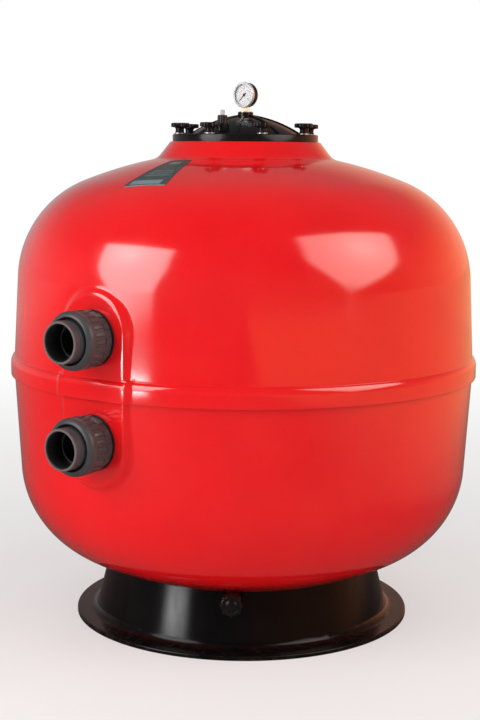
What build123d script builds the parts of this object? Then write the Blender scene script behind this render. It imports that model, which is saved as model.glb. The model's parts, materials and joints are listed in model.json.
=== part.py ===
from build123d import *
import os
from math import asin, cos, radians, sin, sqrt, tan

# A side-ported sand filter tank: two domed shells of glass-reinforced plastic joined at a
# belled seam, on a round skirt, with a bolted lid on its neck and two pipe unions on a pad.
# Millimetres. +Z is up, the floor is Z = 0, the tank's axis is Z, and the unions face -Y.

# ---------------------------------------------------------------- driving dimensions
# Shells: each head is a drafted wall, a knuckle arc and a spherical crown.
shell_radius = 451.0        # outside of the wall at the seam
shell_wall = 7.0
upper_inset = 0.6           # upper wall inside shell_radius at the rim
lower_outset = 0.4          # lower wall outside shell_radius at the rim
rim_height = 508.0          # where the upper shell sits on the lower shell's rim
upper_rise = 409.5          # rim to the top of the upper crown
upper_draft = 3.0
upper_knuckle = 208.6
upper_crown = 835.1
lower_depth = 447.2         # rim to the bottom of the lower crown
lower_draft = 3.36
lower_knuckle = 194.6
lower_crown = 763.9

# Seam: the upper shell's bell laps over the lower shell.
bell_thickness = 6.0
bell_drop = 24.0            # lap below the rim
bell_rise = 13.0            # shoulder above the rim
bell_round = 5.0
bell_foot = 1.3             # bell's shoulder meets the wall this far inside shell_radius

# Neck, with the bore that the sand goes in by.
neck_rise = 14.5            # neck face above the crown
neck_radius = 146.0
neck_slope = 37.5           # flare from vertical
neck_bore = 108.0
neck_foot_fillet = 30.0

# Lid and its eight studs.
lid_gap = 0.3               # neck face to lid flange, closed by the seal
lid_radius = 141.5
lid_flange = 14.0
lid_spigot_depth = 12.0
lid_spigot_wall = 8.5
lid_spigot_clearance = 1.5
dome_radius = 112.0
dome_rise = 38.0
dome_bulge = 6.0            # how far the dome's arc stands above a straight cone
dome_wall = 6.0
rib_count = 8
rib_width = 4.0
rib_proud = 3.0
lid_clocking = 4.5          # first stud's turn from the unions' direction
stud_count = 8
stud_circle = 130.0
stud_radius = 5.0
stud_clearance = 0.5
stud_head_radius = 11.0
stud_head_thickness = 5.0
stud_embedment = 27.0
washer_radius = 10.5
washer_thickness = 2.0
seal_groove_radius = 112.0
seal_width = 7.4
seal_groove_depth = 4.0
seal_side_gap = 0.1

# Lid knobs.
knob_radius = 18.6
knob_lobes = 5
knob_lobe_radius = 5.6
knob_head = 8.0
knob_neck = 11.0
knob_neck_radius = 9.0
knob_bore_clearance = 0.3
knob_roof = 5.0             # plastic over the blind bore

# Pressure gauge, standing on the lid's centre and facing the unions' way.
gauge_height = 33.0         # bushing face to dial centre
gauge_radius = 24.5
gauge_case_radius = 23.6
gauge_case_wall = 1.4
gauge_front = 9.5           # bezel's front ahead of the stem's axis
gauge_back = 10.5
gauge_bezel_depth = 5.0
gauge_window_radius = 20.5
gauge_stem_radius = 6.5
gauge_hex = 14.0
gauge_port = 2.5
gauge_neck = 3.6            # stem where it enters the case
bushing_radius = 10.0
bushing_length = 26.0
boss_radius = 15.0
boss_proud = 5.0            # central boss above the dome's top edge
pointer_length = 16.0
dial_face = 4.4             # dial's front ahead of the stem's axis
arbor_radius = 0.8
arbor_clearance = 0.05

# Air bleed valve, on the dome.
valve_circle = 84.5
valve_boss_radius = 12.0
valve_boss_rise = 2.5
valve_radius = 9.5
valve_height = 15.0
valve_thread = 6.5
valve_screw_radius = 2.5
valve_screw_clearance = 0.06
valve_button_radius = 4.3
valve_button_height = 10.0

# Port pad and unions, both alike and measured outwards from the tank's axis.
port_spacing = 184.0
port_drop = 8.0             # mid-point of the two ports below the rim
pad_setback = 1.0           # pad face inside shell_radius
pad_half_width = 72.0
pad_overrun = 9.0           # end arcs' centres beyond the port axes
pad_draft = 32.0
pad_depth = 24.0
bell_pad_half_width = 77.0
bell_pad_proud = 0.6        # bell's flat over the pad, ahead of the round bell
port_wall = 17.0            # thickness between the inner seat and the pad face
thread_radius = 42.0        # outside thread of the bulkhead barrel
port_seat_radius = thread_radius + 14.0
thread_clearance = 0.3
thread_pitch = 4.0
gasket_thickness = 3.0
gasket_radius = thread_radius + 8.0
locknut_length = 18.0
locknut_radius = thread_radius + 7.5
flange_radius = thread_radius + 11.0
flange_thickness = 8.0
barrel_bore = 30.0
pipe_radius = 31.5          # 63 mm pipe
pipe_wall = 3.0
socket_clearance = 0.15
socket_depth = 38.0
inner_socket_depth = 27.0
fitting_wall = 5.5
nut_gap = 1.0               # locknut to union nut
nut_length = 41.0
nut_radius = thread_radius + 9.5
nut_lip = 12.7
nut_ribs = 24
tail_flange = 9.7
tail_flange_radius = thread_radius - 0.3
tail_projection = 21.0      # socket end beyond the union nut
seal_face_gap = 0.3
face_seal_radius = 36.0
face_seal_width = 4.0
face_seal_depth = 3.0

# Pipework inside.
elbow_bend = 45.0
elbow_socket = 32.0
riser_height = 180.0        # inlet axis to the diffuser's lower edge
diffuser_radius = 75.0
diffuser_window = 45.0
vane_count = 6
vane_width = 4.0
hub_radius = 52.0
hub_height = 58.0
lateral_height = 116.0      # laterals' axis above the bottom of the lower crown
lateral_count = 8
lateral_radius = 12.5
lateral_wall = 2.0
lateral_reach = 300.0
lateral_fit = 0.1
slot_count = 14
slot_width = 2.5
slot_depth = 5.0

# Drain.
drain_azimuth = 32.2        # turn from the unions' direction
drain_height = rim_height - lower_depth + 37.2
drain_tube_radius = 15.0
drain_bore = 11.0
drain_inner = 145.0
drain_end = 312.0
drain_boss_radius = 24.0
drain_boss_inner = 175.0
drain_boss_outer = 256.0
drain_cap_radius = 22.0
drain_cap_lobes = 8
drain_seal_thickness = 2.0
strainer_length = 42.0
strainer_spigot = 18.0
strainer_clearance = 0.2

# Skirt.
foot_radius = 332.0
foot_thickness = 8.0
foot_inner = 284.0
skirt_toe = 292.0           # cone's radius at the top of the foot
skirt_top = 267.0           # cone's radius where it meets the tank
skirt_wall = 6.0
skirt_lip = 24.0            # width of the ring that the tank sits on
skirt_lip_thickness = 7.0
skirt_fillet = 16.0
boss_notch_half_width = 27.0
boss_notch_gap = 2.5        # ahead of the drain boss, before the narrower notch
tube_notch_half_width = 18.0
notch_reach = 60.0

# Name plate, bare, bonded to the upper crown above the unions.
label_centre = 245.0
label_length = 158.0
label_outer_width = 88.0
label_inner_width = 50.0
label_twist = 9.0
label_thickness = 0.6

# ---------------------------------------------------------------- derived places
upper_wall = shell_radius - upper_inset
lower_wall = shell_radius + lower_outset
upper_apex = rim_height + upper_rise
lower_apex = rim_height - lower_depth
bell_bottom = rim_height - bell_drop
bell_top = rim_height + bell_rise
neck_face = upper_apex + neck_rise
lid_bottom = neck_face + lid_gap
lid_top = lid_bottom + lid_flange
dome_top = lid_top + dome_rise
boss_top = dome_top + boss_proud
pad_face = shell_radius - pad_setback
port_seat = pad_face - port_wall
port_mid = rim_height - port_drop
inlet_height = port_mid + port_spacing / 2
outlet_height = port_mid - port_spacing / 2
flange_outer_face = port_seat - gasket_thickness
flange_inner_face = flange_outer_face - flange_thickness
locknut_start = pad_face + gasket_thickness
locknut_end = locknut_start + locknut_length
nut_start = locknut_end + nut_gap
nut_end = nut_start + nut_length
tail_start = nut_end - nut_lip - tail_flange - seal_face_gap
barrel_end = tail_start - seal_face_gap
tail_end = nut_end + tail_projection
socket_stop = tail_end - socket_depth
adaptor_inner_end = flange_inner_face - elbow_socket
lateral_axis = lower_apex + lateral_height
hub_bottom = lateral_axis - hub_height / 2
hub_top = lateral_axis + hub_height / 2
gauge_centre = boss_top + gauge_height
washer_top = lid_top + washer_thickness
knob_top = washer_top + knob_neck + knob_head
stud_top = knob_top - knob_roof - 1.0
cap_start = drain_end - 14.0
cap_floor = drain_end + drain_seal_thickness
cap_end = cap_floor + 5.0


# ---------------------------------------------------------------- shape helpers
def ring(outer, inner, start, end):
    """A plain tube along Z."""
    return Pos(0, 0, start) * extrude(Circle(outer) - Circle(inner), end - start)


def disc(radius, start, end):
    """A plain cylinder along Z."""
    return Pos(0, 0, start) * extrude(Circle(radius), end - start)


def turned(*points):
    """The solid turned about Z from a closed outline of (radius, height) points."""
    outline = Polyline(*points, close=True)
    return revolve(make_face(Plane.XZ * outline), Axis.Z)


def around(count, first=0.0):
    """Places round the Z axis, the first one turned from -Y by the given angle."""
    return [Rot(0, 0, first + n * 360 / count) for n in range(count)]


def toward(azimuth, height):
    """A frame whose Z points outwards, level, turned by azimuth from -Y towards +X."""
    a = radians(azimuth)
    return Plane(origin=(0, 0, height), x_dir=(cos(a), sin(a), 0), z_dir=(sin(a), -cos(a), 0))


def head_arcs(radius, draft, knuckle, crown, rise, inset):
    """A domed end's wall line, knuckle and crown, as (radius, distance from the rim) points.

    Inset shifts the whole outline inwards and keeps it parallel.
    """
    lean, sink = sin(radians(draft)), cos(radians(draft))
    crown_centre = rise - crown
    start_r = radius - knuckle * sink
    start_w = -knuckle * lean - crown_centre
    along = -lean * start_r + sink * start_w
    spare = start_r**2 + start_w**2 - (crown - knuckle) ** 2
    run = -along + sqrt(along**2 - spare)
    centre_r = start_r - lean * run
    centre_w = start_w + sink * run + crown_centre
    small = knuckle - inset
    large = crown - inset
    tangent = asin(centre_r / (crown - knuckle))
    middle = (radians(90 - draft) + tangent) / 2

    def on_knuckle(angle):
        return centre_r + small * sin(angle), centre_w + small * cos(angle)

    def on_crown(angle):
        return large * sin(angle), crown_centre + large * cos(angle)

    wall_end = on_knuckle(radians(90 - draft))
    rim = (wall_end[0] + wall_end[1] * tan(radians(draft)), 0.0)
    return rim, wall_end, on_knuckle(middle), on_crown(tangent), on_crown


def head_face(arcs, rim_z, up, crown, stop_radius=0.0, collar=()):
    """The half outline of a head, filled to the axis, with an optional neck on the crown."""
    rim, wall_end, knuckle_mid, crown_start, on_crown = arcs

    def place(point):
        return point[0], rim_z + up * point[1]

    start = asin(crown_start[0] / crown)
    stop = asin(stop_radius / crown)
    end = on_crown(stop)
    lines = Line(place(rim), place(wall_end))
    lines += ThreePointArc(place(wall_end), place(knuckle_mid), place(crown_start))
    lines += ThreePointArc(place(crown_start), place(on_crown((start + stop) / 2)), place(end))
    corners = [place(end), *collar, (0, rim_z)] if collar else [place(end), (0, rim_z)]
    lines += Polyline(*corners, place(rim))
    return make_face(Plane.XZ * lines)


def filled_upper(inset):
    """The upper shell as a full solid, parallel to its outside, with its neck."""
    arcs = head_arcs(upper_wall, upper_draft, upper_knuckle, upper_crown, upper_rise, inset)
    slope = tan(radians(neck_slope))
    large = upper_crown - inset
    centre = upper_apex - upper_crown
    side = neck_radius - inset / cos(radians(neck_slope))
    # The neck's flare meets the crown where both have the same height.
    a = 1 + 1 / slope**2
    drop = neck_face - centre + side / slope
    foot = (drop / slope - sqrt((drop / slope) ** 2 - a * (drop**2 - large**2))) / a
    collar = [(side, neck_face), (0, neck_face)]
    face = head_face(arcs, rim_height, 1, large, foot, collar)
    corner = face.vertices().sort_by_distance((foot, 0, centre + sqrt(large**2 - foot**2)))[0]
    face = fillet(corner, neck_foot_fillet + inset)
    return revolve(face, Axis.Z)


def filled_head(up, inset):
    """One head as a full solid without its neck, parallel to its outside."""
    if up > 0:
        wall, draft, knuckle, crown, rise = upper_wall, upper_draft, upper_knuckle, upper_crown, upper_rise
    else:
        wall, draft, knuckle, crown, rise = lower_wall, lower_draft, lower_knuckle, lower_crown, lower_depth
    arcs = head_arcs(wall, draft, knuckle, crown, rise, inset)
    return revolve(head_face(arcs, rim_height, up, crown - inset), Axis.Z)


# ---------------------------------------------------------------- shells
def stadium_pad(half_width, face):
    """The raised pad round both ports: flat face, draft all round."""
    plane = Plane(origin=(0, -face, port_mid), x_dir=(1, 0, 0), z_dir=(0, 1, 0))
    spacing = port_spacing + 2 * pad_overrun
    sketch = plane * Rot(0, 0, 90) * SlotCenterToCenter(spacing, 2 * half_width)
    return extrude(sketch, pad_depth, taper=-pad_draft)


def ahead_of(face, half_width, low, high):
    """The block of space in front of a pad's face."""
    size = 40.0
    return Pos(0, -face - size / 2, (low + high) / 2) * Box(2 * half_width, size, high - low)


def lower_filled():
    """The lower shell as a full solid with its half of the port pad."""
    head = filled_head(-1, 0)
    pad = stadium_pad(pad_half_width, pad_face)
    pad -= Pos(0, 0, rim_height + 500) * Box(1000, 2000, 1000)
    low = outlet_height - pad_overrun
    return head + pad - ahead_of(pad_face, pad_half_width, low, rim_height)


def seam_bell():
    """The bell that laps the lower shell, square below and rounded above, with its pad."""
    outer = shell_radius + bell_thickness
    root = shell_radius - 3 * shell_wall
    shoulder = (outer, bell_top - bell_round)
    outline = Polyline(
        (root, bell_bottom),
        (outer, bell_bottom),
        shoulder,
        (shell_radius - bell_foot, bell_top),
        (root, bell_top),
        close=True,
    )
    face = make_face(Plane.XZ * outline)
    corner = face.vertices().sort_by_distance((shoulder[0], 0, shoulder[1]))[0]
    bell = revolve(fillet(corner, bell_round), Axis.Z)
    flare = pad_depth / 2
    front = -outer - bell_pad_proud
    profile = Polyline(
        (front, bell_bottom),
        (front, bell_top - bell_round),
        (-shell_radius + bell_foot, bell_top),
        (front + flare, bell_top),
        (front + flare, bell_bottom),
        close=True,
    )
    side = make_face(Plane.YZ * profile)
    nose = side.vertices().sort_by_distance((0, front, bell_top - bell_round))[0]
    side = fillet(nose, bell_round)
    block = extrude(side, bell_pad_half_width + flare, both=True)
    for turn in (1, -1):
        start = (turn * bell_pad_half_width, front)
        end = (turn * (bell_pad_half_width + flare), front + flare)
        wedge = make_face(Polyline(start, (end[0], front - 1), end, close=True))
        block -= Pos(0, 0, bell_bottom - 1) * extrude(wedge, bell_top - bell_bottom + 2)
    return bell + block


def cavity():
    """The space inside the shells."""
    return filled_head(1, shell_wall) + filled_head(-1, shell_wall)


def port_frame(height):
    """Z points out of a port, and its zero is the tank's axis."""
    return toward(0, height)


def port_seat_boss(height):
    """The thickened wall inside a port, with a flat seat for the inner gasket."""
    return port_frame(height) * disc(port_seat_radius, port_seat, pad_face - 2.0)


def port_hole(height):
    return port_frame(height) * disc(thread_radius + 0.5, port_seat - 20, pad_face + 20)


def stud_places():
    return [place * Pos(0, -stud_circle, 0) for place in around(stud_count, lid_clocking)]


def stud():
    """A lid stud: its flat head is bonded into the neck."""
    foot = neck_face - stud_embedment
    head = disc(stud_head_radius, foot, foot + stud_head_thickness)
    shank = disc(stud_radius, foot, stud_top)
    tip = shank.edges().sort_by(Axis.Z)[-1]
    return head + chamfer(tip, 1.0)


def make_upper_shell(lower):
    shell = filled_upper(0) + stadium_pad(pad_half_width, pad_face) + seam_bell()
    shell -= Pos(0, 0, bell_bottom - 500) * Box(2000, 2000, 1000)
    shell -= lower
    shell -= cavity()
    shell -= disc(neck_bore, upper_apex - 60, neck_face + 1)
    shell += port_seat_boss(inlet_height)
    shell -= port_hole(inlet_height)
    groove = ring(seal_groove_radius + seal_width + 2 * seal_side_gap, seal_groove_radius,
                  neck_face - seal_groove_depth, neck_face + 1)
    shell -= groove
    for place in stud_places():
        shell -= place * stud()
    return shell


def drain_frame():
    return toward(drain_azimuth, drain_height)


def make_lower_shell(lower):
    shell = lower - cavity()
    shell += port_seat_boss(outlet_height)
    shell -= port_hole(outlet_height)
    shell += drain_frame() * disc(drain_boss_radius, drain_boss_inner, drain_boss_outer)
    shell -= drain_frame() * disc(drain_tube_radius, drain_inner - 40, drain_end)
    return shell


def upward_slot(half_width, start, end):
    """A slot along Z, round on its lower side and open on its upper side."""
    size = 2 * half_width
    block = Pos(0, size, (start + end) / 2) * Box(size, 2 * size, end - start)
    return disc(half_width, start, end) + block


def make_skirt():
    """A hollow cone on a flat foot, with a dished ring that carries the tank."""
    crown_centre = lower_apex + lower_crown

    def seat(radius):
        return crown_centre - sqrt(lower_crown**2 - radius**2)

    top = seat(skirt_top) + 12.0
    lip_inner = skirt_top - skirt_lip
    lip_under = seat(lip_inner) - skirt_lip_thickness
    wall_under = seat(skirt_top) - skirt_lip_thickness - 3.0
    lean = (skirt_toe - skirt_top) / (seat(skirt_top) - foot_thickness)
    outer_top = skirt_top - lean * 12.0
    outline = Polyline(
        (foot_inner, 0),
        (foot_radius, 0),
        (foot_radius, foot_thickness),
        (skirt_toe, foot_thickness),
        (outer_top, top),
        (lip_inner, top),
        (lip_inner, lip_under),
        (skirt_top - skirt_wall, wall_under),
        (foot_inner, foot_thickness),
        close=True,
    )
    face = make_face(Plane.XZ * outline)
    toe = face.vertices().sort_by_distance((skirt_toe, 0, foot_thickness))[0]
    face = fillet(toe, skirt_fillet)
    edge = face.vertices().sort_by_distance((foot_radius, 0, foot_thickness))[0]
    face = fillet(edge, 3.0)
    skirt = revolve(face, Axis.Z)
    skirt -= Pos(0, 0, crown_centre) * Sphere(lower_crown)
    front = drain_boss_outer + boss_notch_gap
    notch = upward_slot(boss_notch_half_width, front - notch_reach, front)
    notch += upward_slot(tube_notch_half_width, front - 1, skirt_top + notch_reach)
    return skirt - drain_frame() * notch


def make_label():
    """A thin bare plate that follows the crown, cut to a tapered outline."""
    half = label_length / 2
    outline = Polyline(
        (-label_outer_width / 2, -half),
        (label_outer_width / 2, -half),
        (label_inner_width / 2, half),
        (-label_inner_width / 2, half),
        close=True,
    )
    sketch = fillet(make_face(outline).vertices(), 6.0)
    prism = Pos(0, -label_centre, neck_face - 150) * Rot(0, 0, label_twist) * extrude(sketch, 150)
    return (prism & filled_upper(-label_thickness)) - filled_upper(0)


# ---------------------------------------------------------------- lid
def dome_arc(inset):
    """Ends and mid-point of the dome's outline, from the flange up to the boss."""
    low = (dome_radius - inset * 1.2, lid_top - inset * 0.4)
    high = (boss_radius, dome_top - inset)
    middle = ((low[0] + high[0]) / 2, (low[1] + high[1]) / 2 + dome_bulge)
    return low, middle, high


def valve_place():
    return Rot(0, 0, lid_clocking) * Pos(0, -valve_circle, 0)


def valve_seat():
    """Height of the flat top of the air valve's boss."""
    share = (dome_radius - valve_circle) / (dome_radius - boss_radius)
    return lid_top + dome_rise * share + dome_bulge + valve_boss_rise


def make_lid():
    spigot = neck_bore - lid_spigot_clearance
    spigot_inner = spigot - lid_spigot_wall
    low, middle, high = dome_arc(rib_proud)
    low_in, middle_in, high_in = dome_arc(rib_proud + dome_wall)
    spigot_end = lid_bottom - lid_spigot_depth
    outline = Polyline(
        (0, boss_top),
        (boss_radius, boss_top),
        high,
    )
    outline += ThreePointArc(high, middle, low)
    outline += Polyline(
        low,
        (low[0], lid_top),
        (lid_radius - 1.5, lid_top),
        (lid_radius, lid_top - 1.5),
        (lid_radius, lid_bottom),
        (spigot, lid_bottom),
        (spigot, spigot_end),
        (spigot_inner, spigot_end),
        (spigot_inner, low_in[1] - dome_wall),
    )
    start = (spigot_inner, low_in[1] - dome_wall)
    bottom = boss_top - bushing_length
    outline += ThreePointArc(start, middle_in, high_in)
    outline += Polyline(high_in, (boss_radius, bottom), (0, bottom), (0, boss_top))
    lid = revolve(make_face(Plane.XZ * outline), Axis.Z)

    rib_low, rib_middle, rib_high = dome_arc(0)
    core_low, core_middle, core_high = dome_arc(rib_proud + dome_wall / 2)
    side = ThreePointArc(rib_high, rib_middle, rib_low)
    side += Line(rib_low, core_low)
    side += ThreePointArc(core_low, core_middle, core_high)
    side += Line(core_high, rib_high)
    rib = extrude(make_face(Plane.XZ * side), rib_width / 2, both=True)
    for place in around(rib_count, lid_clocking + 180 / rib_count - 90):
        lid += place * rib

    seat = valve_seat()
    under = seat - valve_boss_rise - dome_bulge - dome_wall - 8
    lid += valve_place() * disc(valve_boss_radius, under, seat)
    lid -= valve_place() * disc(valve_thread, under - 1, seat + 1)
    lid -= disc(bushing_radius, bottom - 1, boss_top + 1)
    for place in stud_places():
        lid -= place * disc(stud_radius + stud_clearance, lid_bottom - 1, lid_top + 1)
    return lid


def make_knob():
    """A lobed hand knob with a blind bore that takes the stud."""
    start = washer_top + knob_neck
    plan = Circle(knob_radius - knob_lobe_radius)
    for place in around(knob_lobes):
        plan += place * Pos(0, knob_lobe_radius - knob_radius) * Circle(knob_lobe_radius)
    head = Pos(0, 0, start) * extrude(plan, knob_head)
    head = chamfer(head.faces().sort_by(Axis.Z)[-1].edges(), 1.2)
    body = head + disc(knob_neck_radius, washer_top, start)
    return body - disc(stud_radius + knob_bore_clearance, washer_top - 1, knob_top - knob_roof)


def make_lid_seal():
    inner = seal_groove_radius + seal_side_gap
    seal = ring(inner + seal_width, inner, neck_face - seal_groove_depth, lid_bottom)
    return fillet(seal.edges(), 1.2)


def make_washers():
    hole = stud_radius + stud_clearance
    return [place * ring(washer_radius, hole, lid_top, washer_top) for place in stud_places()]


# ---------------------------------------------------------------- gauge
def gauge_frame():
    """Z points out of the dial, and its zero is the stem's axis."""
    return Plane(origin=(0, 0, gauge_centre), x_dir=(1, 0, 0), z_dir=(0, -1, 0))


def make_bushing():
    low = boss_top - bushing_length
    collar = ring(bushing_radius + 3, gauge_stem_radius, boss_top, boss_top + 1.5)
    return ring(bushing_radius, gauge_stem_radius, low, boss_top) + collar


def make_gauge_stem():
    """Threaded tail, hexagon and neck, with the block that holds the spring tube."""
    seat = boss_top + 1.5
    low = boss_top - bushing_length + 4
    top = gauge_centre - gauge_case_radius + 6
    hexagon = RegularPolygon(gauge_hex / 2, 6, major_radius=False)
    stem = disc(gauge_stem_radius, low, seat)
    stem += Pos(0, 0, seat) * extrude(hexagon, gauge_centre - gauge_radius - seat - 0.3)
    stem += disc(gauge_neck, seat, top)
    stem += Pos(0, 0.7, top + 1) * Box(9, 6.4, 8)
    return stem - disc(gauge_port, low - 1, top)


def make_gauge_case():
    cup = disc(gauge_case_radius, -gauge_back, gauge_front - 2.0)
    cup = fillet(cup.faces().sort_by(Axis.Z)[0].edges(), 4.0)
    hollow = disc(gauge_case_radius - gauge_case_wall, gauge_case_wall - gauge_back, gauge_front)
    cup = gauge_frame() * (cup - hollow)
    return cup - disc(gauge_neck + 0.1, gauge_centre - gauge_radius - 2, gauge_centre)


def make_gauge_bezel():
    start = gauge_front - gauge_bezel_depth
    outline = Polyline(
        (gauge_case_radius, start),
        (gauge_radius, start),
        (gauge_radius, gauge_front - 2.0),
        (gauge_radius - 1.5, gauge_front),
        (gauge_window_radius + 0.6, gauge_front),
        (gauge_window_radius, gauge_front - 1.0),
        (gauge_window_radius, gauge_front - 2.0),
        (gauge_case_radius, gauge_front - 2.0),
        close=True,
    )
    return gauge_frame() * revolve(make_face(Plane.XZ * outline), Axis.Z)


def make_gauge_lens():
    radius = gauge_case_radius - gauge_case_wall - 0.1
    return gauge_frame() * disc(radius, gauge_front - 3.4, gauge_front - 2.0)


def make_gauge_dial():
    radius = gauge_case_radius - gauge_case_wall
    hole = arbor_radius + arbor_clearance
    return gauge_frame() * ring(radius, hole, dial_face - 0.6, dial_face)


def make_gauge_pointer():
    """A tapered needle on its arbor, at zero, low on the left of the dial."""
    outline = Polyline((-1.3, -5.0), (1.3, -5.0), (0.9, 0), (0.25, pointer_length), (-0.25, pointer_length),
                       (-0.9, 0), close=True)
    needle = Pos(0, 0, dial_face + 0.5) * extrude(make_face(outline), 0.5)
    needle += disc(2.4, dial_face + 0.4, dial_face + 1.3)
    needle = Rot(0, 0, 135) * needle
    return gauge_frame() * (needle + disc(arbor_radius, -3.2, dial_face + 0.5))


def make_gauge_movement():
    """The curved spring tube and the bearing plate that carries the pointer's arbor."""
    height = -5.6
    bend = 13.0
    arc = CenterArc((0, 0, height), bend, -80, 290)
    section = Plane(origin=arc @ 0, z_dir=arc % 0) * Circle(1.6)
    tube = sweep(section, path=arc)
    bottom = Pos(0, -bend, height) * Box(8.0, 3.0, 3.4)
    hole = arbor_radius + arbor_clearance
    bearing = ring(3.2, hole, -4.6, dial_face - 2.4)
    bridge = Pos(0, -6.6, -6.2) * Box(5.0, 15.0, 2.4)
    bridge += disc(3.2, -7.4, -4.6)
    return gauge_frame() * (tube + bottom + bridge + bearing)


# ---------------------------------------------------------------- air bleed valve
def make_valve_body():
    seat = valve_seat() + 1.0
    body = disc(valve_radius, seat, seat + valve_height)
    body = chamfer(body.edges().sort_by(Axis.Z)[-1], 1.2)
    for place in around(12):
        body -= place * Pos(0, -valve_radius - 0.6, seat + valve_height / 2) * Cylinder(1.4, valve_height + 1)
    body += disc(valve_thread, seat - 16.0, seat)
    bore = disc(valve_screw_radius + valve_screw_clearance, seat - 8.0, seat + valve_height + 1)
    port = disc(1.5, seat - 17.0, seat)
    return valve_place() * (body - bore - port)


def make_valve_seal():
    seat = valve_seat()
    return valve_place() * ring(valve_radius - 0.5, valve_thread, seat, seat + 1.0)


def make_valve_button():
    """The bleed screw with its small grip."""
    top = valve_seat() + 1.0 + valve_height
    grip = disc(valve_button_radius, top + seal_face_gap, top + valve_button_height)
    grip = chamfer(grip.edges().sort_by(Axis.Z)[-1], 0.8)
    grip -= Pos(0, 0, top + valve_button_height) * Box(1.4, 20, 3.0)
    return valve_place() * (grip + disc(valve_screw_radius, top - 18.0, top + 1.0))


# ---------------------------------------------------------------- ports and unions
def thread_outline(radius, start, end):
    """Points of a ridged barrel's side, from start to end."""
    count = int((end - start) / thread_pitch)
    points = []
    for n in range(count):
        low = start + n * thread_pitch
        points += [(radius - 1.0, low), (radius, low + 1.4), (radius, low + 2.6)]
    return points + [(radius - 1.0, start + count * thread_pitch), (radius - 1.0, end)]


def make_adaptor(height):
    """The bulkhead barrel: inner flange, threaded outside, pipe socket inside."""
    inner_wall = pipe_radius + socket_clearance
    socket_outer = inner_wall + fitting_wall
    stop = adaptor_inner_end + inner_socket_depth
    barrel = turned(
        (inner_wall, adaptor_inner_end),
        (socket_outer, adaptor_inner_end),
        (socket_outer, flange_inner_face),
        (flange_radius, flange_inner_face),
        (flange_radius, flange_outer_face),
        (thread_radius, flange_outer_face),
        *thread_outline(thread_radius, port_seat + 1, barrel_end - 0.5),
        (thread_radius - 1.5, barrel_end),
        (barrel_bore, barrel_end),
        (barrel_bore, stop + 4),
        (pipe_radius - pipe_wall, stop),
        (inner_wall, stop),
    )
    groove = face_seal_width / 2 + seal_side_gap
    seal_room = ring(face_seal_radius + groove, face_seal_radius - groove,
                     barrel_end - face_seal_depth, barrel_end + 1)
    return port_frame(height) * (barrel - seal_room)


def make_face_seal(height):
    half = face_seal_width / 2
    seal = ring(face_seal_radius + half, face_seal_radius - half, barrel_end - face_seal_depth, tail_start)
    return port_frame(height) * fillet(seal.edges(), 0.8)


def make_inner_gasket(height):
    gasket = ring(flange_radius - 1, thread_radius + 0.5, flange_outer_face, port_seat)
    return port_frame(height) * gasket


def make_outer_gasket(height):
    gasket = ring(gasket_radius, thread_radius + 0.5, pad_face, pad_face + gasket_thickness)
    return port_frame(height) * gasket


def ribbed(radius, low, high, count, width):
    """Grip ribs along Z round a nut."""
    length = high - low
    rib = Pos(0, -radius + 1.5, (low + high) / 2) * Box(width, 4.0, length)
    return [place * rib for place in around(count)]


def make_locknut(height):
    nut = ring(locknut_radius - 1.8, thread_radius + thread_clearance, locknut_start, locknut_end)
    nut += ribbed(locknut_radius - 0.5, locknut_start + 2, locknut_end - 2, 12, 9.0)
    return port_frame(height) * nut


def make_union_nut(height):
    """The union's ring nut: ribbed behind, smooth and rounded in front, with an inner lip."""
    thread = thread_radius + thread_clearance
    socket_outer = pipe_radius + socket_clearance + fitting_wall
    lip = socket_outer + 1.2
    lip_start = nut_end - nut_lip
    band = nut_start + nut_length * 0.55
    nut = turned(
        (thread, nut_start),
        (nut_radius - 3.2, nut_start),
        (nut_radius - 2.2, nut_start + 1.0),
        (nut_radius - 2.2, band),
        (nut_radius, band + 1.5),
        (nut_radius, nut_end - 9.0),
        (nut_radius - 2.0, nut_end - 4.5),
        (nut_radius - 6.0, nut_end - 1.0),
        (nut_radius - 8.5, nut_end),
        (lip + 3.5, nut_end),
        (lip + 1.0, nut_end - 5.0),
        (lip, nut_end - 6.0),
        (lip, lip_start),
        (thread, lip_start),
    )
    nut += ribbed(nut_radius - 0.5, nut_start + 1.5, band + 1.0, nut_ribs, 5.0)
    return port_frame(height) * nut


def make_union_tail(height):
    """The loose end of the union: a flange held by the nut and a socket for the pipe."""
    bore = pipe_radius + socket_clearance
    outer = bore + fitting_wall
    tail = turned(
        (pipe_radius - pipe_wall, tail_start),
        (tail_flange_radius, tail_start),
        (tail_flange_radius, tail_start + tail_flange),
        (outer, tail_start + tail_flange),
        (outer, tail_end - 14.0),
        (outer - 0.9, tail_end - 13.2),
        (outer - 0.9, tail_end - 10.8),
        (outer, tail_end - 10.0),
        (outer, tail_end - 1.5),
        (outer - 1.5, tail_end),
        (bore + 1.5, tail_end),
        (bore, tail_end - 1.5),
        (bore, socket_stop),
        (pipe_radius - pipe_wall, socket_stop),
    )
    return port_frame(height) * tail


# ---------------------------------------------------------------- pipework inside
def make_elbow(height, up):
    """A right-angled bend with a socket at each end, from a port's axis to the tank's."""
    outer = pipe_radius + socket_clearance + fitting_wall
    bore = pipe_radius - pipe_wall
    corner = elbow_bend * (1 - cos(radians(45)))
    path = ThreePointArc((0, -elbow_bend, 0), (0, -corner, corner), (0, 0, elbow_bend))
    start = Plane(origin=(0, -elbow_bend, 0), z_dir=(0, 1, 0))
    bend = sweep(start * Circle(outer), path=path) - sweep(start * Circle(bore), path=path)
    socket = ring(outer, pipe_radius + socket_clearance, elbow_bend + 3, elbow_bend + elbow_socket)
    socket += ring(outer, bore, elbow_bend, elbow_bend + 3)
    bend += socket
    bend += toward(0, 0) * socket
    if up < 0:
        bend = mirror(bend, Plane.XY)
    return Pos(0, 0, height) * bend


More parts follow.
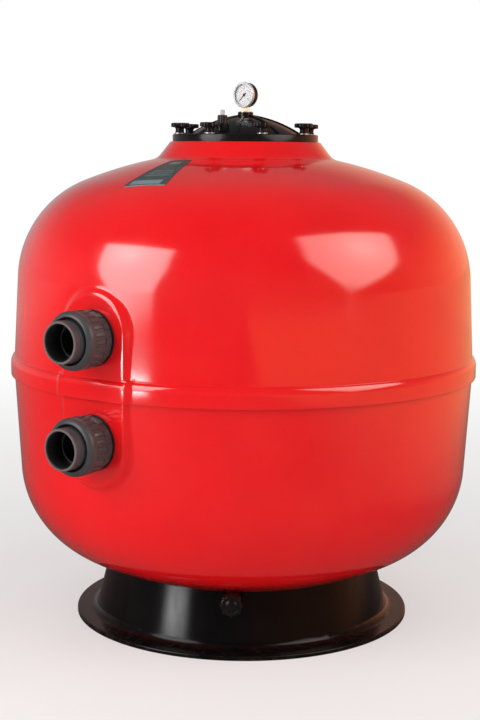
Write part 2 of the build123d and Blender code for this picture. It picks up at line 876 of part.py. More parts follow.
def make_run(height):
    """The level pipe from a port's inner socket to its elbow."""
    end = adaptor_inner_end + inner_socket_depth
    return port_frame(height) * ring(pipe_radius, pipe_radius - pipe_wall, elbow_bend + 3, end)


def make_riser():
    low = inlet_height + elbow_bend + 3
    return ring(pipe_radius, pipe_radius - pipe_wall, low, inlet_height + riser_height + elbow_socket)


def make_diffuser():
    """The inlet's spreader: a socket, upright vanes and a dished cap over them."""
    bore = pipe_radius + socket_clearance
    outer = bore + fitting_wall
    low = inlet_height + riser_height
    stop = low + elbow_socket
    top = stop + diffuser_window
    body = ring(outer, bore, low, stop) + ring(outer + 18, pipe_radius - pipe_wall, stop, stop + 4)
    rim = diffuser_radius
    cap = turned(
        (0, top + 4), (rim - 25, top + 4), (rim, top - 8), (rim - 4, top - 10), (rim - 27, top), (0, top)
    )
    for place in around(vane_count, 30):
        vane = Pos(0, -(outer + 6), (stop + top) / 2 + 1) * Box(vane_width, 22, top - stop)
        body += place * vane
    return body + cap


def make_drop_pipe():
    high = outlet_height - elbow_bend - 3
    return ring(pipe_radius, pipe_radius - pipe_wall, hub_top + 3, high)


def make_hub():
    """The collector's hub: a closed drum with a socket on top and eight round its side."""
    bore = pipe_radius + socket_clearance
    hub = disc(hub_radius, hub_bottom, hub_top + 3)
    hub += disc(bore + fitting_wall, hub_top, hub_top + elbow_socket)
    hub -= disc(hub_radius - 22, hub_bottom + 6, hub_top - 6)
    hub -= disc(pipe_radius - pipe_wall, hub_top - 8, hub_top + 4)
    hub -= disc(bore, hub_top + 3, hub_top + elbow_socket + 1)
    for n in range(lateral_count):
        frame = toward(n * 360 / lateral_count, lateral_axis)
        hub -= frame * disc(lateral_radius + lateral_fit, hub_radius - 18, hub_radius + 1)
        hub -= frame * disc(lateral_radius - lateral_wall, hub_radius - 24, hub_radius)
    return hub


def make_lateral():
    """One slotted collector arm, closed at its end."""
    start = hub_radius - 18
    arm = disc(lateral_radius, start, lateral_reach)
    arm = chamfer(arm.edges().sort_by(Axis.Z)[-1], 2.0)
    arm -= disc(lateral_radius - lateral_wall, start - 1, lateral_reach - 4)
    pitch = (lateral_reach - hub_radius - 30) / slot_count
    for n in range(slot_count):
        middle = hub_radius + 15 + (n + 0.5) * pitch
        for side in (-1, 1):
            place = Pos(0, side * (lateral_radius - slot_depth / 2), middle)
            arm -= place * Box(2.2 * lateral_radius, slot_depth, slot_width)
    return arm


def make_laterals():
    arm = make_lateral()
    return [toward(n * 360 / lateral_count, lateral_axis) * arm for n in range(lateral_count)]


# ---------------------------------------------------------------- drain
def make_drain_tube():
    tube = turned(
        (drain_bore, drain_inner),
        (drain_tube_radius, drain_inner),
        (drain_tube_radius, cap_start - 2),
        *[(r - 0.3, s) for r, s in thread_outline(drain_tube_radius, cap_start - 1, drain_end - 1)],
        (drain_tube_radius - 1.5, drain_end),
        (drain_bore, drain_end),
    )
    return drain_frame() * tube


def make_strainer():
    """A slotted thimble that keeps the sand out of the drain."""
    start = drain_inner - strainer_length
    fit = drain_bore - strainer_clearance
    body = disc(drain_tube_radius, start, drain_inner)
    body = chamfer(body.edges().sort_by(Axis.Z)[0], 2.0)
    body += disc(fit, drain_inner, drain_inner + strainer_spigot)
    body -= disc(drain_bore - 3, start + 3, drain_inner + strainer_spigot + 1)
    for n in range(5):
        place = Pos(0, 0, start + 8 + n * 7)
        body -= place * Pos(0, drain_tube_radius, 0) * Box(30, 14, 2)
        body -= place * Pos(0, -drain_tube_radius, 0) * Box(30, 14, 2)
    return drain_frame() * body


def make_drain_seal():
    return drain_frame() * ring(drain_tube_radius - 1.0, drain_bore - 3, drain_end, cap_floor)


def make_drain_cap():
    """A lobed screw cap over the drain tube's end."""
    core = drain_cap_radius - 2.5
    plan = Circle(core)
    for place in around(drain_cap_lobes):
        plan += place * Pos(0, -core + 1.5) * Circle(4.0)
    cap = Pos(0, 0, cap_start) * extrude(plan, cap_end - cap_start)
    cap = chamfer(cap.faces().sort_by(Axis.Z)[-1].edges(), 1.0)
    cap += disc(drain_bore - 1, cap_end, cap_end + 3.0)
    return drain_frame() * (cap - disc(drain_tube_radius + thread_clearance, cap_start - 1, cap_floor))


# ---------------------------------------------------------------- writing
def save(name, *solids):
    """Writes one node: a single solid, or a group of separate ones."""
    shape = solids[0] if len(solids) == 1 else Compound(children=list(solids))
    export_step(shape, f"parts/{name}.step")


def save_ports():
    for name, height, up in (("inlet", inlet_height, 1), ("outlet", outlet_height, -1)):
        save(f"{name}_adaptor", make_adaptor(height))
        save(f"{name}_inner_gasket", make_inner_gasket(height))
        save(f"{name}_outer_gasket", make_outer_gasket(height))
        save(f"{name}_locknut", make_locknut(height))
        save(f"{name}_face_seal", make_face_seal(height))
        save(f"{name}_union_tail", make_union_tail(height))
        save(f"{name}_union_nut", make_union_nut(height))
        save(f"{name}_pipe", make_run(height))
        save(f"{name}_elbow", make_elbow(height, up))


def main():
    os.makedirs("parts", exist_ok=True)
    lower = lower_filled()
    save("upper_shell", make_upper_shell(lower))
    save("lower_shell", make_lower_shell(lower))
    save("base_skirt", make_skirt())
    save("name_plate", make_label())
    save("lid_studs", *[place * stud() for place in stud_places()])
    save("lid_seal", make_lid_seal())

    save("lid_cover", make_lid())
    save("lid_washers", *make_washers())
    knob = make_knob()
    for n, place in enumerate(stud_places(), 1):
        save(f"lid_knob_{n}", place * knob)

    save("gauge_bushing", make_bushing())
    save("gauge_stem", make_gauge_stem())
    save("gauge_case", make_gauge_case())
    save("gauge_bezel", make_gauge_bezel())
    save("gauge_lens", make_gauge_lens())
    save("gauge_dial", make_gauge_dial())
    save("gauge_movement", make_gauge_movement())
    save("gauge_pointer", make_gauge_pointer())

    save("valve_body", make_valve_body())
    save("valve_seal", make_valve_seal())
    save("valve_screw", make_valve_button())

    save_ports()
    save("riser_pipe", make_riser())
    save("diffuser", make_diffuser())
    save("drop_pipe", make_drop_pipe())
    save("collector_hub", make_hub())
    save("laterals", *make_laterals())

    save("drain_tube", make_drain_tube())
    save("drain_strainer", make_strainer())
    save("drain_seal", make_drain_seal())
    save("drain_cap", make_drain_cap())


main()
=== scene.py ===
"""Looks for the sand filter tank: materials, small parts, lights, floor and camera."""
import json
from math import asin, cos, hypot, pi, radians, sin, sqrt, tan

import bmesh
import bpy
from mathutils import Matrix, Vector


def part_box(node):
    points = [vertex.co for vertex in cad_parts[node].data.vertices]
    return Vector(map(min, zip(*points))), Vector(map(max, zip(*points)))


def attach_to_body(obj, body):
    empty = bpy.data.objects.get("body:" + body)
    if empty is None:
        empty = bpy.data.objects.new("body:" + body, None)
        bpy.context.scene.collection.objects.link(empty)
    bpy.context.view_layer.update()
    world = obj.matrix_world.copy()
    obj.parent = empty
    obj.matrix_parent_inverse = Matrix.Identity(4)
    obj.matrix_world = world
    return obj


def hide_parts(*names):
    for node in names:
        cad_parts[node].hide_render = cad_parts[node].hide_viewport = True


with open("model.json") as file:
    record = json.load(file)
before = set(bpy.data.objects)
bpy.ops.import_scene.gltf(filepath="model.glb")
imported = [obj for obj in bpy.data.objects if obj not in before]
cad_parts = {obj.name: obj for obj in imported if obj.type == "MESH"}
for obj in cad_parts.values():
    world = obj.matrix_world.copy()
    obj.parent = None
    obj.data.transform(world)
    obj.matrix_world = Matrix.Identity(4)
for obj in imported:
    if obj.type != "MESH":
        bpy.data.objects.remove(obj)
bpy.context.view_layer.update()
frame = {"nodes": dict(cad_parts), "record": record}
NODES = frame["nodes"]
RECORD = frame["record"]
MM = 0.001
PORTS = {"inlet": 592.0, "outlet": 408.0}       # heights of the unions, in millimetres
UNION_FACE = 534.0                              # their open ends, from the tank's axis
LID_FLANGE = (932.0, 946.4)                     # bottom and top of the lid's flange
LABEL_EDGE = 0.68                               # where the painted highlight on the plate's end rims starts, in decimetres


# ---------------------------------------------------------------- node helpers
class Graph:
    """A node tree being built with short calls."""

    def __init__(self, tree):
        self.nodes = tree.nodes
        self.links = tree.links

    def node(self, kind, inputs=(), **settings):
        made = self.nodes.new(kind)
        for name, value in settings.items():
            setattr(made, name, value)
        for key, value in dict(inputs).items():
            if isinstance(value, bpy.types.NodeSocket):
                self.links.new(value, made.inputs[key])
            else:
                made.inputs[key].default_value = value
        return made

    def ramp(self, value, *stops):
        """Colours or greys at (position, colour) stops."""
        made = self.node("ShaderNodeValToRGB", {"Fac": value})
        points = made.color_ramp.elements
        while len(points) < len(stops):
            points.new(0.5)
        for point, (position, colour) in zip(points, stops):
            point.position = position
            point.color = (*(colour if isinstance(colour, tuple) else (colour,) * 3), 1.0)
        return made.outputs["Color"]

    def spread(self, value, low, high, start=0.3, end=0.7, smooth=False):
        """Value from start to end mapped to low to high."""
        made = self.node("ShaderNodeMapRange", {"Value": value, "From Min": start,
                                                "From Max": end, "To Min": low, "To Max": high})
        made.interpolation_type = "SMOOTHSTEP" if smooth else "LINEAR"
        return made.outputs["Result"]

    def maths(self, operation, a, b=0.0):
        return self.node("ShaderNodeMath", {0: a, 1: b}, operation=operation).outputs[0]

    def product(self, first, *others):
        for other in others:
            first = self.maths("MULTIPLY", first, other)
        return first

    def share(self, first, second, part):
        """Two greys added up, with the given part from the second."""
        return self.maths("ADD", self.product(first, 1 - part), self.product(second, part))

    def blend(self, factor, a, b, kind="MIX"):
        made = self.node("ShaderNodeMix", data_type="RGBA", blend_type=kind)
        for socket, value in zip((made.inputs[0], made.inputs[6], made.inputs[7]), (factor, a, b)):
            if isinstance(value, bpy.types.NodeSocket):
                self.links.new(value, socket)
            else:
                socket.default_value = (*value, 1.0) if isinstance(value, tuple) else value
        return made.outputs[2]

    def parts(self, vector):
        return self.node("ShaderNodeSeparateXYZ", {0: vector}).outputs

    def along(self, vector, direction):
        """How far a vector reaches along a direction."""
        made = self.node("ShaderNodeVectorMath", {0: vector, 1: direction}, operation="DOT_PRODUCT")
        return made.outputs["Value"]

    def mix_shaders(self, factor, first, second):
        return self.node("ShaderNodeMixShader", {0: factor, 1: first, 2: second}).outputs[0]

    def emission(self, colour, strength):
        return self.node("ShaderNodeEmission", {"Color": colour, "Strength": strength}).outputs[0]


class Look(Graph):
    """A procedural material being built on the object's own coordinates, in metres."""

    def __init__(self, name):
        self.material = bpy.data.materials.new(name)
        self.material.use_nodes = True
        super().__init__(self.material.node_tree)
        self.shader = self.nodes["Principled BSDF"]
        self.place = self.nodes.new("ShaderNodeTexCoord").outputs["Object"]
        self.relief = None

    def put(self, **values):
        """Constants on the shader's own sockets, such as coat_weight=0.3."""
        sockets = {s.name.lower().replace(" ", "_"): s for s in self.shader.inputs}
        for name, value in values.items():
            sockets[name].default_value = value

    def join(self, out, socket):
        self.links.new(out, self.shader.inputs[socket])

    def stretched(self, factors):
        return self.node("ShaderNodeMapping", {"Vector": self.place, "Scale": factors}).outputs[0]

    def noise(self, scale, detail=3.0, rough=0.55, factors=None, warp=0.0):
        vector = self.stretched(factors) if factors else self.place
        made = self.node("ShaderNodeTexNoise", {"Vector": vector, "Scale": scale,
                                                "Detail": detail, "Roughness": rough,
                                                "Distortion": warp})
        return made.outputs["Fac"]

    def height_above_floor(self):
        return self.parts(self.place)[2]

    def rubbed(self, scale):
        """Small irregular patches where hands and tools have been."""
        return self.spread(self.noise(scale, 6.0, 0.75, warp=0.8), 0.0, 0.5, 0.60, 0.72)

    def bump(self, value, distance, strength=1.0):
        """One more layer of relief, distance metres deep."""
        made = self.node("ShaderNodeBump", {"Height": value, "Distance": distance,
                                            "Strength": strength})
        if self.relief is not None:
            self.links.new(self.relief, made.inputs["Normal"])
        self.relief = made.outputs[0]

    def surface(self, shader):
        """A shader mixed outside the main one goes to the material's output."""
        self.links.new(shader, self.nodes["Material Output"].inputs["Surface"])

    def done(self):
        if self.relief is not None:
            self.join(self.relief, "Normal")
        return self.material


def gel_coat():
    """Glossy red gel coat over hand-laid glass: slow waves, orange peel, mottling and scuffs."""
    look = Look("shell_red")
    cloud = look.noise(5.0, 4.0, 0.6)
    speckle = look.noise(210.0, 2.0, 0.5)
    tone = look.share(cloud, speckle, 0.2)
    colour = look.ramp(tone, (0.30, (0.76, 0.0056, 0.0090)), (0.50, (0.82, 0.0068, 0.0102)),
                       (0.72, (0.86, 0.0105, 0.0110)))
    scuff = look.noise(38.0, 5.0, 0.7, factors=(1.0, 1.0, 0.16), warp=0.4)
    scuffed = look.spread(scuff, 0.0, 1.0, 0.66, 0.74)
    low = look.spread(look.height_above_floor(), 1.0, 0.25, 0.06, 0.30)
    scuffed = look.product(scuffed, low)
    colour = look.blend(look.product(scuffed, 0.06), colour, (0.66, 0.06, 0.055))
    look.join(colour, "Base Color")
    gloss = look.spread(look.noise(9.0, 3.0), 0.12, 0.19)
    look.join(look.maths("ADD", gloss, look.product(scuffed, 0.10)), "Roughness")
    look.put(ior=1.5, specular_ior_level=0.5)
    look.put(coat_weight=1.0, coat_roughness=0.06, coat_ior=1.58)
    look.bump(look.noise(6.5, 2.0, 0.4), 0.0016, 0.30)
    look.bump(look.noise(34.0, 2.0, 0.5), 0.00022, 0.35)
    look.bump(look.noise(330.0, 2.0, 0.5), 0.00006, 0.35)
    return look.done()


def skirt_plastic():
    """Glossy black moulding with streaks in its sheen and dust on its foot."""
    look = Look("skirt_black")
    cloud = look.noise(14.0, 5.0, 0.6)
    clean = look.ramp(cloud, (0.3, (0.0014, 0.0014, 0.0015)), (0.7, (0.0032, 0.0031, 0.0032)))
    grime = look.noise(75.0, 5.0, 0.65)
    foot = look.spread(look.height_above_floor(), 1.0, 0.0, 0.001, 0.016)
    dusty = look.product(foot, look.spread(grime, 0.0, 0.55, 0.42, 0.72))
    look.join(look.blend(dusty, clean, (0.030, 0.027, 0.024)), "Base Color")
    streak = look.noise(30.0, 4.0, 0.6, factors=(1.0, 1.0, 0.10), warp=0.5)
    gloss = look.spread(streak, 0.13, 0.23)
    look.join(look.maths("ADD", gloss, look.product(dusty, 0.4)), "Roughness")
    look.put(ior=1.5, specular_ior_level=0.25)
    look.bump(look.noise(12.0, 2.0, 0.4), 0.0008, 0.30)
    look.bump(look.noise(420.0, 3.0, 0.5), 0.00002, 0.3)
    return look.done()


def moulded(name, dark, light, rough, grain=520.0, depth=0.00007, gloss=0.5, wear=None,
            shoulder=None):
    """Injection-moulded plastic: fine grain, slow colour change, rubbed high spots.

    A shoulder (bottom, top, depth) softly rounds a flange's side between two heights.
    """
    look = Look(name)
    cloud = look.noise(26.0, 4.0, 0.6)
    fine = look.noise(grain, 3.0, 0.6)
    colour = look.ramp(look.share(cloud, fine, 0.3), (0.32, dark), (0.68, light))
    if wear:
        colour = look.blend(look.rubbed(120.0), colour, wear)
    look.join(colour, "Base Color")
    look.join(look.spread(look.noise(60.0, 4.0, 0.6), rough[0], rough[1]), "Roughness")
    look.put(specular_ior_level=gloss)
    if shoulder:
        bottom, top, drop = shoulder
        up = look.spread(look.height_above_floor(), 0.0, 1.0, bottom, top)
        look.bump(look.maths("SUBTRACT", 1.0, look.product(up, up)), drop)
    look.bump(look.noise(45.0, 2.0, 0.5), 0.00025, 0.30)
    look.bump(fine, depth, 0.55)
    return look.done()


def turned_metal(name, dark, light, rough, factors, metallic=0.8):
    """Bright metal with fine tool marks along one direction."""
    look = Look(name)
    marks = look.noise(190.0, 3.0, 0.6, factors=factors)
    stain = look.noise(55.0, 5.0, 0.65)
    look.join(look.ramp(look.share(marks, stain, 0.45), (0.34, dark), (0.66, light)), "Base Color")
    look.join(look.spread(stain, rough[0], rough[1]), "Roughness")
    look.put(metallic=metallic)
    look.bump(marks, 0.00004, 0.5)
    return look.done()


def lens_glass():
    """Clear flat glass with faint smears, which lets the lamps light the dial behind it."""
    look = Look("gauge_glass")
    smear = look.noise(150.0, 5.0, 0.7, factors=(1.0, 1.0, 0.35), warp=1.2)
    tint = look.ramp(smear, (0.4, (0.97, 0.98, 0.985)), (0.7, (0.93, 0.95, 0.96)))
    look.join(tint, "Base Color")
    look.join(look.spread(smear, 0.0, 0.05, 0.45, 0.75), "Roughness")
    look.put(transmission_weight=1.0, ior=1.45)
    clear = look.node("ShaderNodeBsdfTransparent", {"Color": (0.99, 0.99, 0.99, 1.0)})
    path = look.node("ShaderNodeLightPath").outputs
    passed = look.maths("MAXIMUM", path["Is Shadow Ray"], path["Is Diffuse Ray"])
    look.surface(look.mix_shaders(passed, look.shader.outputs[0], clear.outputs[0]))
    return look.done()


def union_plastic():
    """Grey moulded fittings: greasy sheen, handled high spots, painted shade down inside the bores
    and a painted highlight round their open ends.
    """
    look = Look("pvc_grey")
    cloud = look.noise(22.0, 4.0, 0.6)
    fine = look.noise(480.0, 3.0, 0.6)
    tone = look.share(cloud, fine, 0.25)
    colour = look.ramp(tone, (0.30, (0.044, 0.044, 0.048)), (0.50, (0.060, 0.058, 0.062)),
                       (0.70, (0.078, 0.072, 0.074)))
    colour = look.blend(look.rubbed(95.0), colour, (0.115, 0.102, 0.102))
    # Painted shade: faces turned in towards a port's axis are darkened almost to black, more so
    # deeper in the bore.
    x, y, z = look.parts(look.place)
    low, high = PORTS["outlet"] * MM, PORTS["inlet"] * MM
    upper = look.maths("GREATER_THAN", z, (low + high) / 2)
    axis = look.maths("ADD", low, look.product(upper, high - low))
    off_axis = look.maths("SUBTRACT", z, axis)
    outward = look.node("ShaderNodeCombineXYZ", {0: x, 1: 0.0, 2: off_axis}).outputs[0]
    outward = look.node("ShaderNodeVectorMath", {0: outward}, operation="NORMALIZE").outputs[0]
    facing = look.node("ShaderNodeTexCoord").outputs["Normal"]
    inside = look.spread(look.along(outward, facing), 1.0, 0.0, -0.6, -0.2)
    deep = look.spread(y, 0.55, 1.0, -(UNION_FACE - 1.0) * MM, -(UNION_FACE - 29.0) * MM)
    colour = look.blend(look.product(inside, deep), colour, (0.006, 0.006, 0.007))
    # Painted highlight: a pale pinkish band on the outward faces at the fittings' open ends.
    front = look.spread(y, 1.0, 0.0, -(UNION_FACE + 0.2) * MM, -(UNION_FACE - 2.5) * MM)
    rim = look.product(front, look.maths("SUBTRACT", 1.0, inside))
    colour = look.blend(look.product(rim, 0.55), colour, (0.21, 0.165, 0.165))
    look.join(colour, "Base Color")
    look.join(look.spread(look.noise(50.0, 4.0, 0.6), 0.28, 0.44), "Roughness")
    look.put(specular_ior_level=0.5)
    look.bump(look.noise(45.0, 2.0, 0.5), 0.00025, 0.30)
    look.bump(fine, 0.00006, 0.5)
    return look.done()


def name_plate():
    """Dark plate with bare fields and bars, and a painted highlight on its raised end rims; its UV
    counts in decimetres.
    """
    look = Look("plate_dark")
    flat = look.node("ShaderNodeUVMap", uv_map="flat").outputs[0]
    across, along = look.parts(flat)[:2]

    def field(middle, low, high, half, soft=0.008):
        """1 inside a rectangle of the plate, 0 outside."""
        off = look.maths("ABSOLUTE", look.maths("SUBTRACT", across, middle))
        return look.product(look.spread(off, 1.0, 0.0, half - soft, half + soft),
                            look.spread(along, 0.0, 1.0, low - soft, low + soft),
                            look.spread(along, 1.0, 0.0, high - soft, high + soft))

    grain = look.noise(420.0, 3.0, 0.6)
    brushed = look.noise(160.0, 3.0, 0.6, factors=(0.1, 1.0, 1.0))
    cloud = look.noise(60.0, 4.0, 0.6)
    colour = look.ramp(cloud, (0.35, (0.040, 0.056, 0.060)), (0.65, (0.060, 0.078, 0.082)))
    pale = look.ramp(brushed, (0.3, (0.15, 0.23, 0.26)), (0.7, (0.20, 0.29, 0.32)))
    green = look.ramp(brushed, (0.3, (0.10, 0.18, 0.14)), (0.7, (0.14, 0.22, 0.17)))
    # Painted highlight: the plate's raised end rims are painted pale.
    lip = look.maths("GREATER_THAN", look.maths("ABSOLUTE", along), LABEL_EDGE)
    for mask, shade in ((field(-0.03, -0.64, -0.47, 0.31), pale),
                        (field(0.0, 0.38, 0.56, 0.11), green),
                        (field(0.02, -0.26, -0.235, 0.26), pale),
                        (field(0.02, -0.15, -0.13, 0.24), pale),
                        (field(0.02, -0.04, -0.02, 0.22), pale),
                        (lip, pale)):
        colour = look.blend(mask, colour, shade)
    look.join(colour, "Base Color")
    look.join(look.spread(grain, 0.24, 0.40), "Roughness")
    look.put(specular_ior_level=0.45)
    look.bump(grain, 0.00004, 0.4)
    return look.done()


MATERIALS = {
    "shell_red": gel_coat(),
    "skirt_black": skirt_plastic(),
    "plate_dark": name_plate(),
    "stud_steel": turned_metal("stud_steel", (0.42, 0.42, 0.43), (0.62, 0.62, 0.62),
                               (0.25, 0.42), (1, 1, 9)),
    "rubber": moulded("rubber", (0.010, 0.010, 0.010), (0.020, 0.019, 0.018), (0.62, 0.78),
                      grain=700.0, wear=(0.05, 0.047, 0.043)),
    "pvc_grey": union_plastic(),
    "pipe_white": moulded("pipe_white", (0.68, 0.68, 0.65), (0.78, 0.78, 0.76), (0.30, 0.45)),
    "lid_black": moulded("lid_black", (0.0042, 0.0040, 0.0044), (0.0080, 0.0074, 0.0080),
                         (0.14, 0.24), depth=0.00005, gloss=0.33, wear=(0.016, 0.015, 0.016),
                         shoulder=(LID_FLANGE[0] * MM, LID_FLANGE[1] * MM, 2.4 * MM)),
    "knob_black": moulded("knob_black", (0.0050, 0.0050, 0.0053), (0.0100, 0.0098, 0.0100),
                          (0.20, 0.34), gloss=0.34, wear=(0.020, 0.019, 0.019)),
    "brass": turned_metal("brass", (0.66, 0.58, 0.38), (0.88, 0.82, 0.62),
                          (0.20, 0.38), (1, 1, 8), 0.55),
    "gauge_black": moulded("gauge_black", (0.006, 0.006, 0.006), (0.011, 0.011, 0.011),
                           (0.16, 0.28), gloss=0.4),
    "gauge_chrome": turned_metal("gauge_chrome", (0.60, 0.60, 0.62), (0.80, 0.80, 0.81),
                                 (0.20, 0.34), (1, 1, 1), 0.45),
    "gauge_glass": lens_glass(),
    "gauge_white": moulded("gauge_white", (0.84, 0.84, 0.83), (0.90, 0.90, 0.89), (0.35, 0.45)),
    "valve_black": moulded("valve_black", (0.0060, 0.0058, 0.0063), (0.0105, 0.0100, 0.0108),
                           (0.10, 0.20), gloss=0.7),
    "valve_pale": moulded("valve_pale", (0.50, 0.50, 0.49), (0.62, 0.62, 0.61), (0.35, 0.50)),
}

for part in RECORD["subparts"]:
    if part["node"] in NODES:
        slots = NODES[part["node"]].data.materials
        slots.clear()
        slots.append(MATERIALS[part["material_slot"]])


# ---------------------------------------------------------------- mesh helpers, in millimetres
SHARP_EDGE = radians(32.0)
CORNER_SHARE = 0.49                     # most of an edge that one rounded corner may take


def add_object(name, data):
    made = bpy.data.objects.new(name, data)
    bpy.context.scene.collection.objects.link(made)
    return made


def face_outward(mesh, merge=False):
    """Join doubled points if asked, and turn every face outward."""
    shape = bmesh.new()
    shape.from_mesh(mesh)
    if merge:
        bmesh.ops.remove_doubles(shape, verts=shape.verts, dist=1e-7)
    bmesh.ops.recalc_face_normals(shape, faces=shape.faces)
    shape.to_mesh(mesh)
    shape.free()


def smooth(mesh):
    mesh.shade_smooth()
    mesh.set_sharp_from_angle(angle=SHARP_EDGE)


def evaluated_mesh(item):
    """The mesh of an object as its modifiers or its curve make it."""
    bpy.context.view_layer.update()
    depsgraph = bpy.context.evaluated_depsgraph_get()
    return bpy.data.meshes.new_from_object(item.evaluated_get(depsgraph))


def side_frame(azimuth, height):
    """Local Z points out level at azimuth degrees from -Y towards +X, local Y points up."""
    a = radians(azimuth)
    axes = Matrix(((cos(a), 0, sin(a)), (sin(a), 0, -cos(a)), (0, 1, 0))).to_4x4()
    return Matrix.Translation((0, 0, height)) @ axes


def arc_corner(before, corner, after, radius, steps=5):
    """A rounded corner between two neighbours."""
    corner, before, after = Vector(corner), Vector(before), Vector(after)
    u, v = (before - corner), (after - corner)
    half = u.angle(v) / 2
    reach = min(radius / max(tan(half), 1e-6), u.length * CORNER_SHARE, v.length * CORNER_SHARE)
    first, last = corner + u.normalized() * reach, corner + v.normalized() * reach
    made = []
    for n in range(steps + 1):
        s = n / steps
        made.append(tuple(first * (1 - s) ** 2 + corner * 2 * s * (1 - s) + last * s**2))
    return made


def rounded(points, closed=True, steps=5):
    """An outline from (r, z) or (r, z, corner radius) points."""
    made = []
    last = len(points) - 1
    for n, point in enumerate(points):
        if len(point) == 2 or (not closed and n in (0, last)):
            made.append(tuple(point[:2]))
        else:
            after = points[(n + 1) % len(points)][:2]
            made += arc_corner(points[n - 1][:2], point[:2], after, point[2], steps)
    return made


def attach(name, mesh, body, slot):
    """A mesh as a piece that rides on a body with its slot's material."""
    piece = add_object(name, mesh)
    mesh.materials.clear()
    mesh.materials.append(MATERIALS[slot])
    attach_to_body(piece, body)
    return piece


def add_piece(name, points, faces, body, slot, replaced=(), place=Matrix.Identity(4), uv=None):
    """A new mesh piece given in millimetres, instead of the replaced CAD nodes if any."""
    mesh = bpy.data.meshes.new(name)
    mesh.from_pydata([place @ Vector(v) for v in points], [], faces)
    mesh.transform(Matrix.Scale(MM, 4))
    face_outward(mesh, merge=True)
    smooth(mesh)
    if uv:
        layer = mesh.uv_layers.new(name="flat")
        for corner in mesh.loops:
            layer.data[corner.index].uv = uv(mesh.vertices[corner.vertex_index].co)
    piece = attach(name, mesh, body, slot)
    if replaced:
        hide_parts(*replaced)
    return piece


def spin(rows, angles, closed=True, swell=None, shape=None):
    """Points and faces of a profile of (r, z) rows turned about Z.

    Angles are in degrees from -Y. swell(row, angle) adds to a radius, and shape(row, x, y, z)
    moves a point. An open profile ends on the axis.
    """
    points, index = [], []
    for n, (r, z) in enumerate(rows):
        if r < 1e-6:
            index.append([len(points)] * len(angles))
            points.append((0.0, 0.0, z))
            continue
        index.append(range(len(points), len(points) + len(angles)))
        for angle in angles:
            a = radians(angle)
            wide = r + (swell(n, angle) if swell else 0.0)
            point = (wide * sin(a), -wide * cos(a), z)
            points.append(shape(n, *point) if shape else point)
    faces = []
    count = len(angles)
    for n in range(len(rows) if closed else len(rows) - 1):
        low, high = index[n], index[(n + 1) % len(rows)]
        for m in range(count):
            k = (m + 1) % count
            corners = [low[m], low[k], high[k], high[m]]
            face = [c for i, c in enumerate(corners) if c != corners[i - 1]]
            if len(face) > 2:
                faces.append(face)
    return points, faces


def evenly(count):
    return [n * 360 / count for n in range(count)]


def add_turned(name, rows, body, slot, replaced=(), place=Matrix.Identity(4), count=96,
               closed=True, **more):
    """A piece turned from a profile about the local Z of place."""
    points, faces = spin(rows, evenly(count), closed, **more)
    return add_piece(name, points, faces, body, slot, replaced, place)


def drill(piece, place, radius, start, end, count=120):
    """Cut a round hole through a piece along the local Z of place."""
    points, faces = spin([(radius, start), (radius, end)], evenly(count), closed=False)
    faces += [list(range(count)), list(range(count, 2 * count))]
    mesh = bpy.data.meshes.new("drill")
    mesh.from_pydata([(place @ Vector(v)) * MM for v in points], [], faces)
    face_outward(mesh)
    cutter = add_object("drill", mesh)
    cut = piece.modifiers.new("hole", "BOOLEAN")
    cut.operation, cut.solver, cut.object = "DIFFERENCE", "EXACT", cutter
    drilled = evaluated_mesh(piece)
    piece.modifiers.remove(cut)
    bpy.data.objects.remove(cutter)
    piece.data = drilled
    smooth(drilled)


def smooth_max(a, b, size):
    """The larger of two values, with the crease between them rounded over size."""
    near = max(size - abs(a - b), 0.0) / size
    return max(a, b) + near * near * size / 4


# ---------------------------------------------------------------- shells
RIM = 508.0
# Wall radius at the rim, draft in degrees, knuckle and crown radii, rise from the rim, and side.
UPPER = dict(wall=450.4, draft=3.0, knuckle=208.6, crown=835.1, rise=409.5, up=1)
LOWER = dict(wall=451.4, draft=3.36, knuckle=194.6, crown=763.9, rise=447.2, up=-1)
OUTSIDE_STEP, INSIDE_STEP = 3.2, 9.0
SHELL_WALL = 7.0
CROWN_CENTRE = RIM + UPPER["rise"] - UPPER["crown"]
NECK_FACE = 932.0
NECK_RADIUS = 146.0
NECK_BORE = 108.0
NECK_SLOPE = tan(radians(37.5))
NECK_FOOT_ROUND = 30.0
SEAL_GROOVE = (112.0, 119.6, 4.0)       # inner and outer radius, depth
BELL_RADIUS = 457.0
BELL_LOW, BELL_HIGH = 484.0, 521.0
BELL_ROLL_START, BELL_ROLL = 506.5, (7.3, 14.5)
PORT_HOLE, PORT_DRILLED = 42.5, (380.0, 480.0)
DRAIN_HOLE, DRAIN_DRILLED = 15.0, (160.0, 280.0)
PORT_SEAT = (56.0, 433.0, 444.0)        # radius, start and end from the tank's axis
DRAIN_BOSS = (24.0, 175.0, 256.0)
DRAIN_AZIMUTH, DRAIN_HEIGHT = 32.2, 98.0
PAD_FACE = 450.0
PAD_REACH = 130.0                       # the pad shapes nothing further out than this
PAD_BACK = -300.0                       # nor anything behind this
PAD_HALF_WIDTH = 72.0
PAD_LOW, PAD_HIGH = PORTS["outlet"] - 9.0, PORTS["inlet"] + 9.0
PAD_BACK_SLOPE = 1 / tan(radians(32.0))
PAD_EDGE = 3.6
PAD_FLAT = 8.0                          # inside this from the edge the pad is quite flat
BELL_PAD_HALF_WIDTH = 77.0
BELL_PAD_PROUD = 0.6


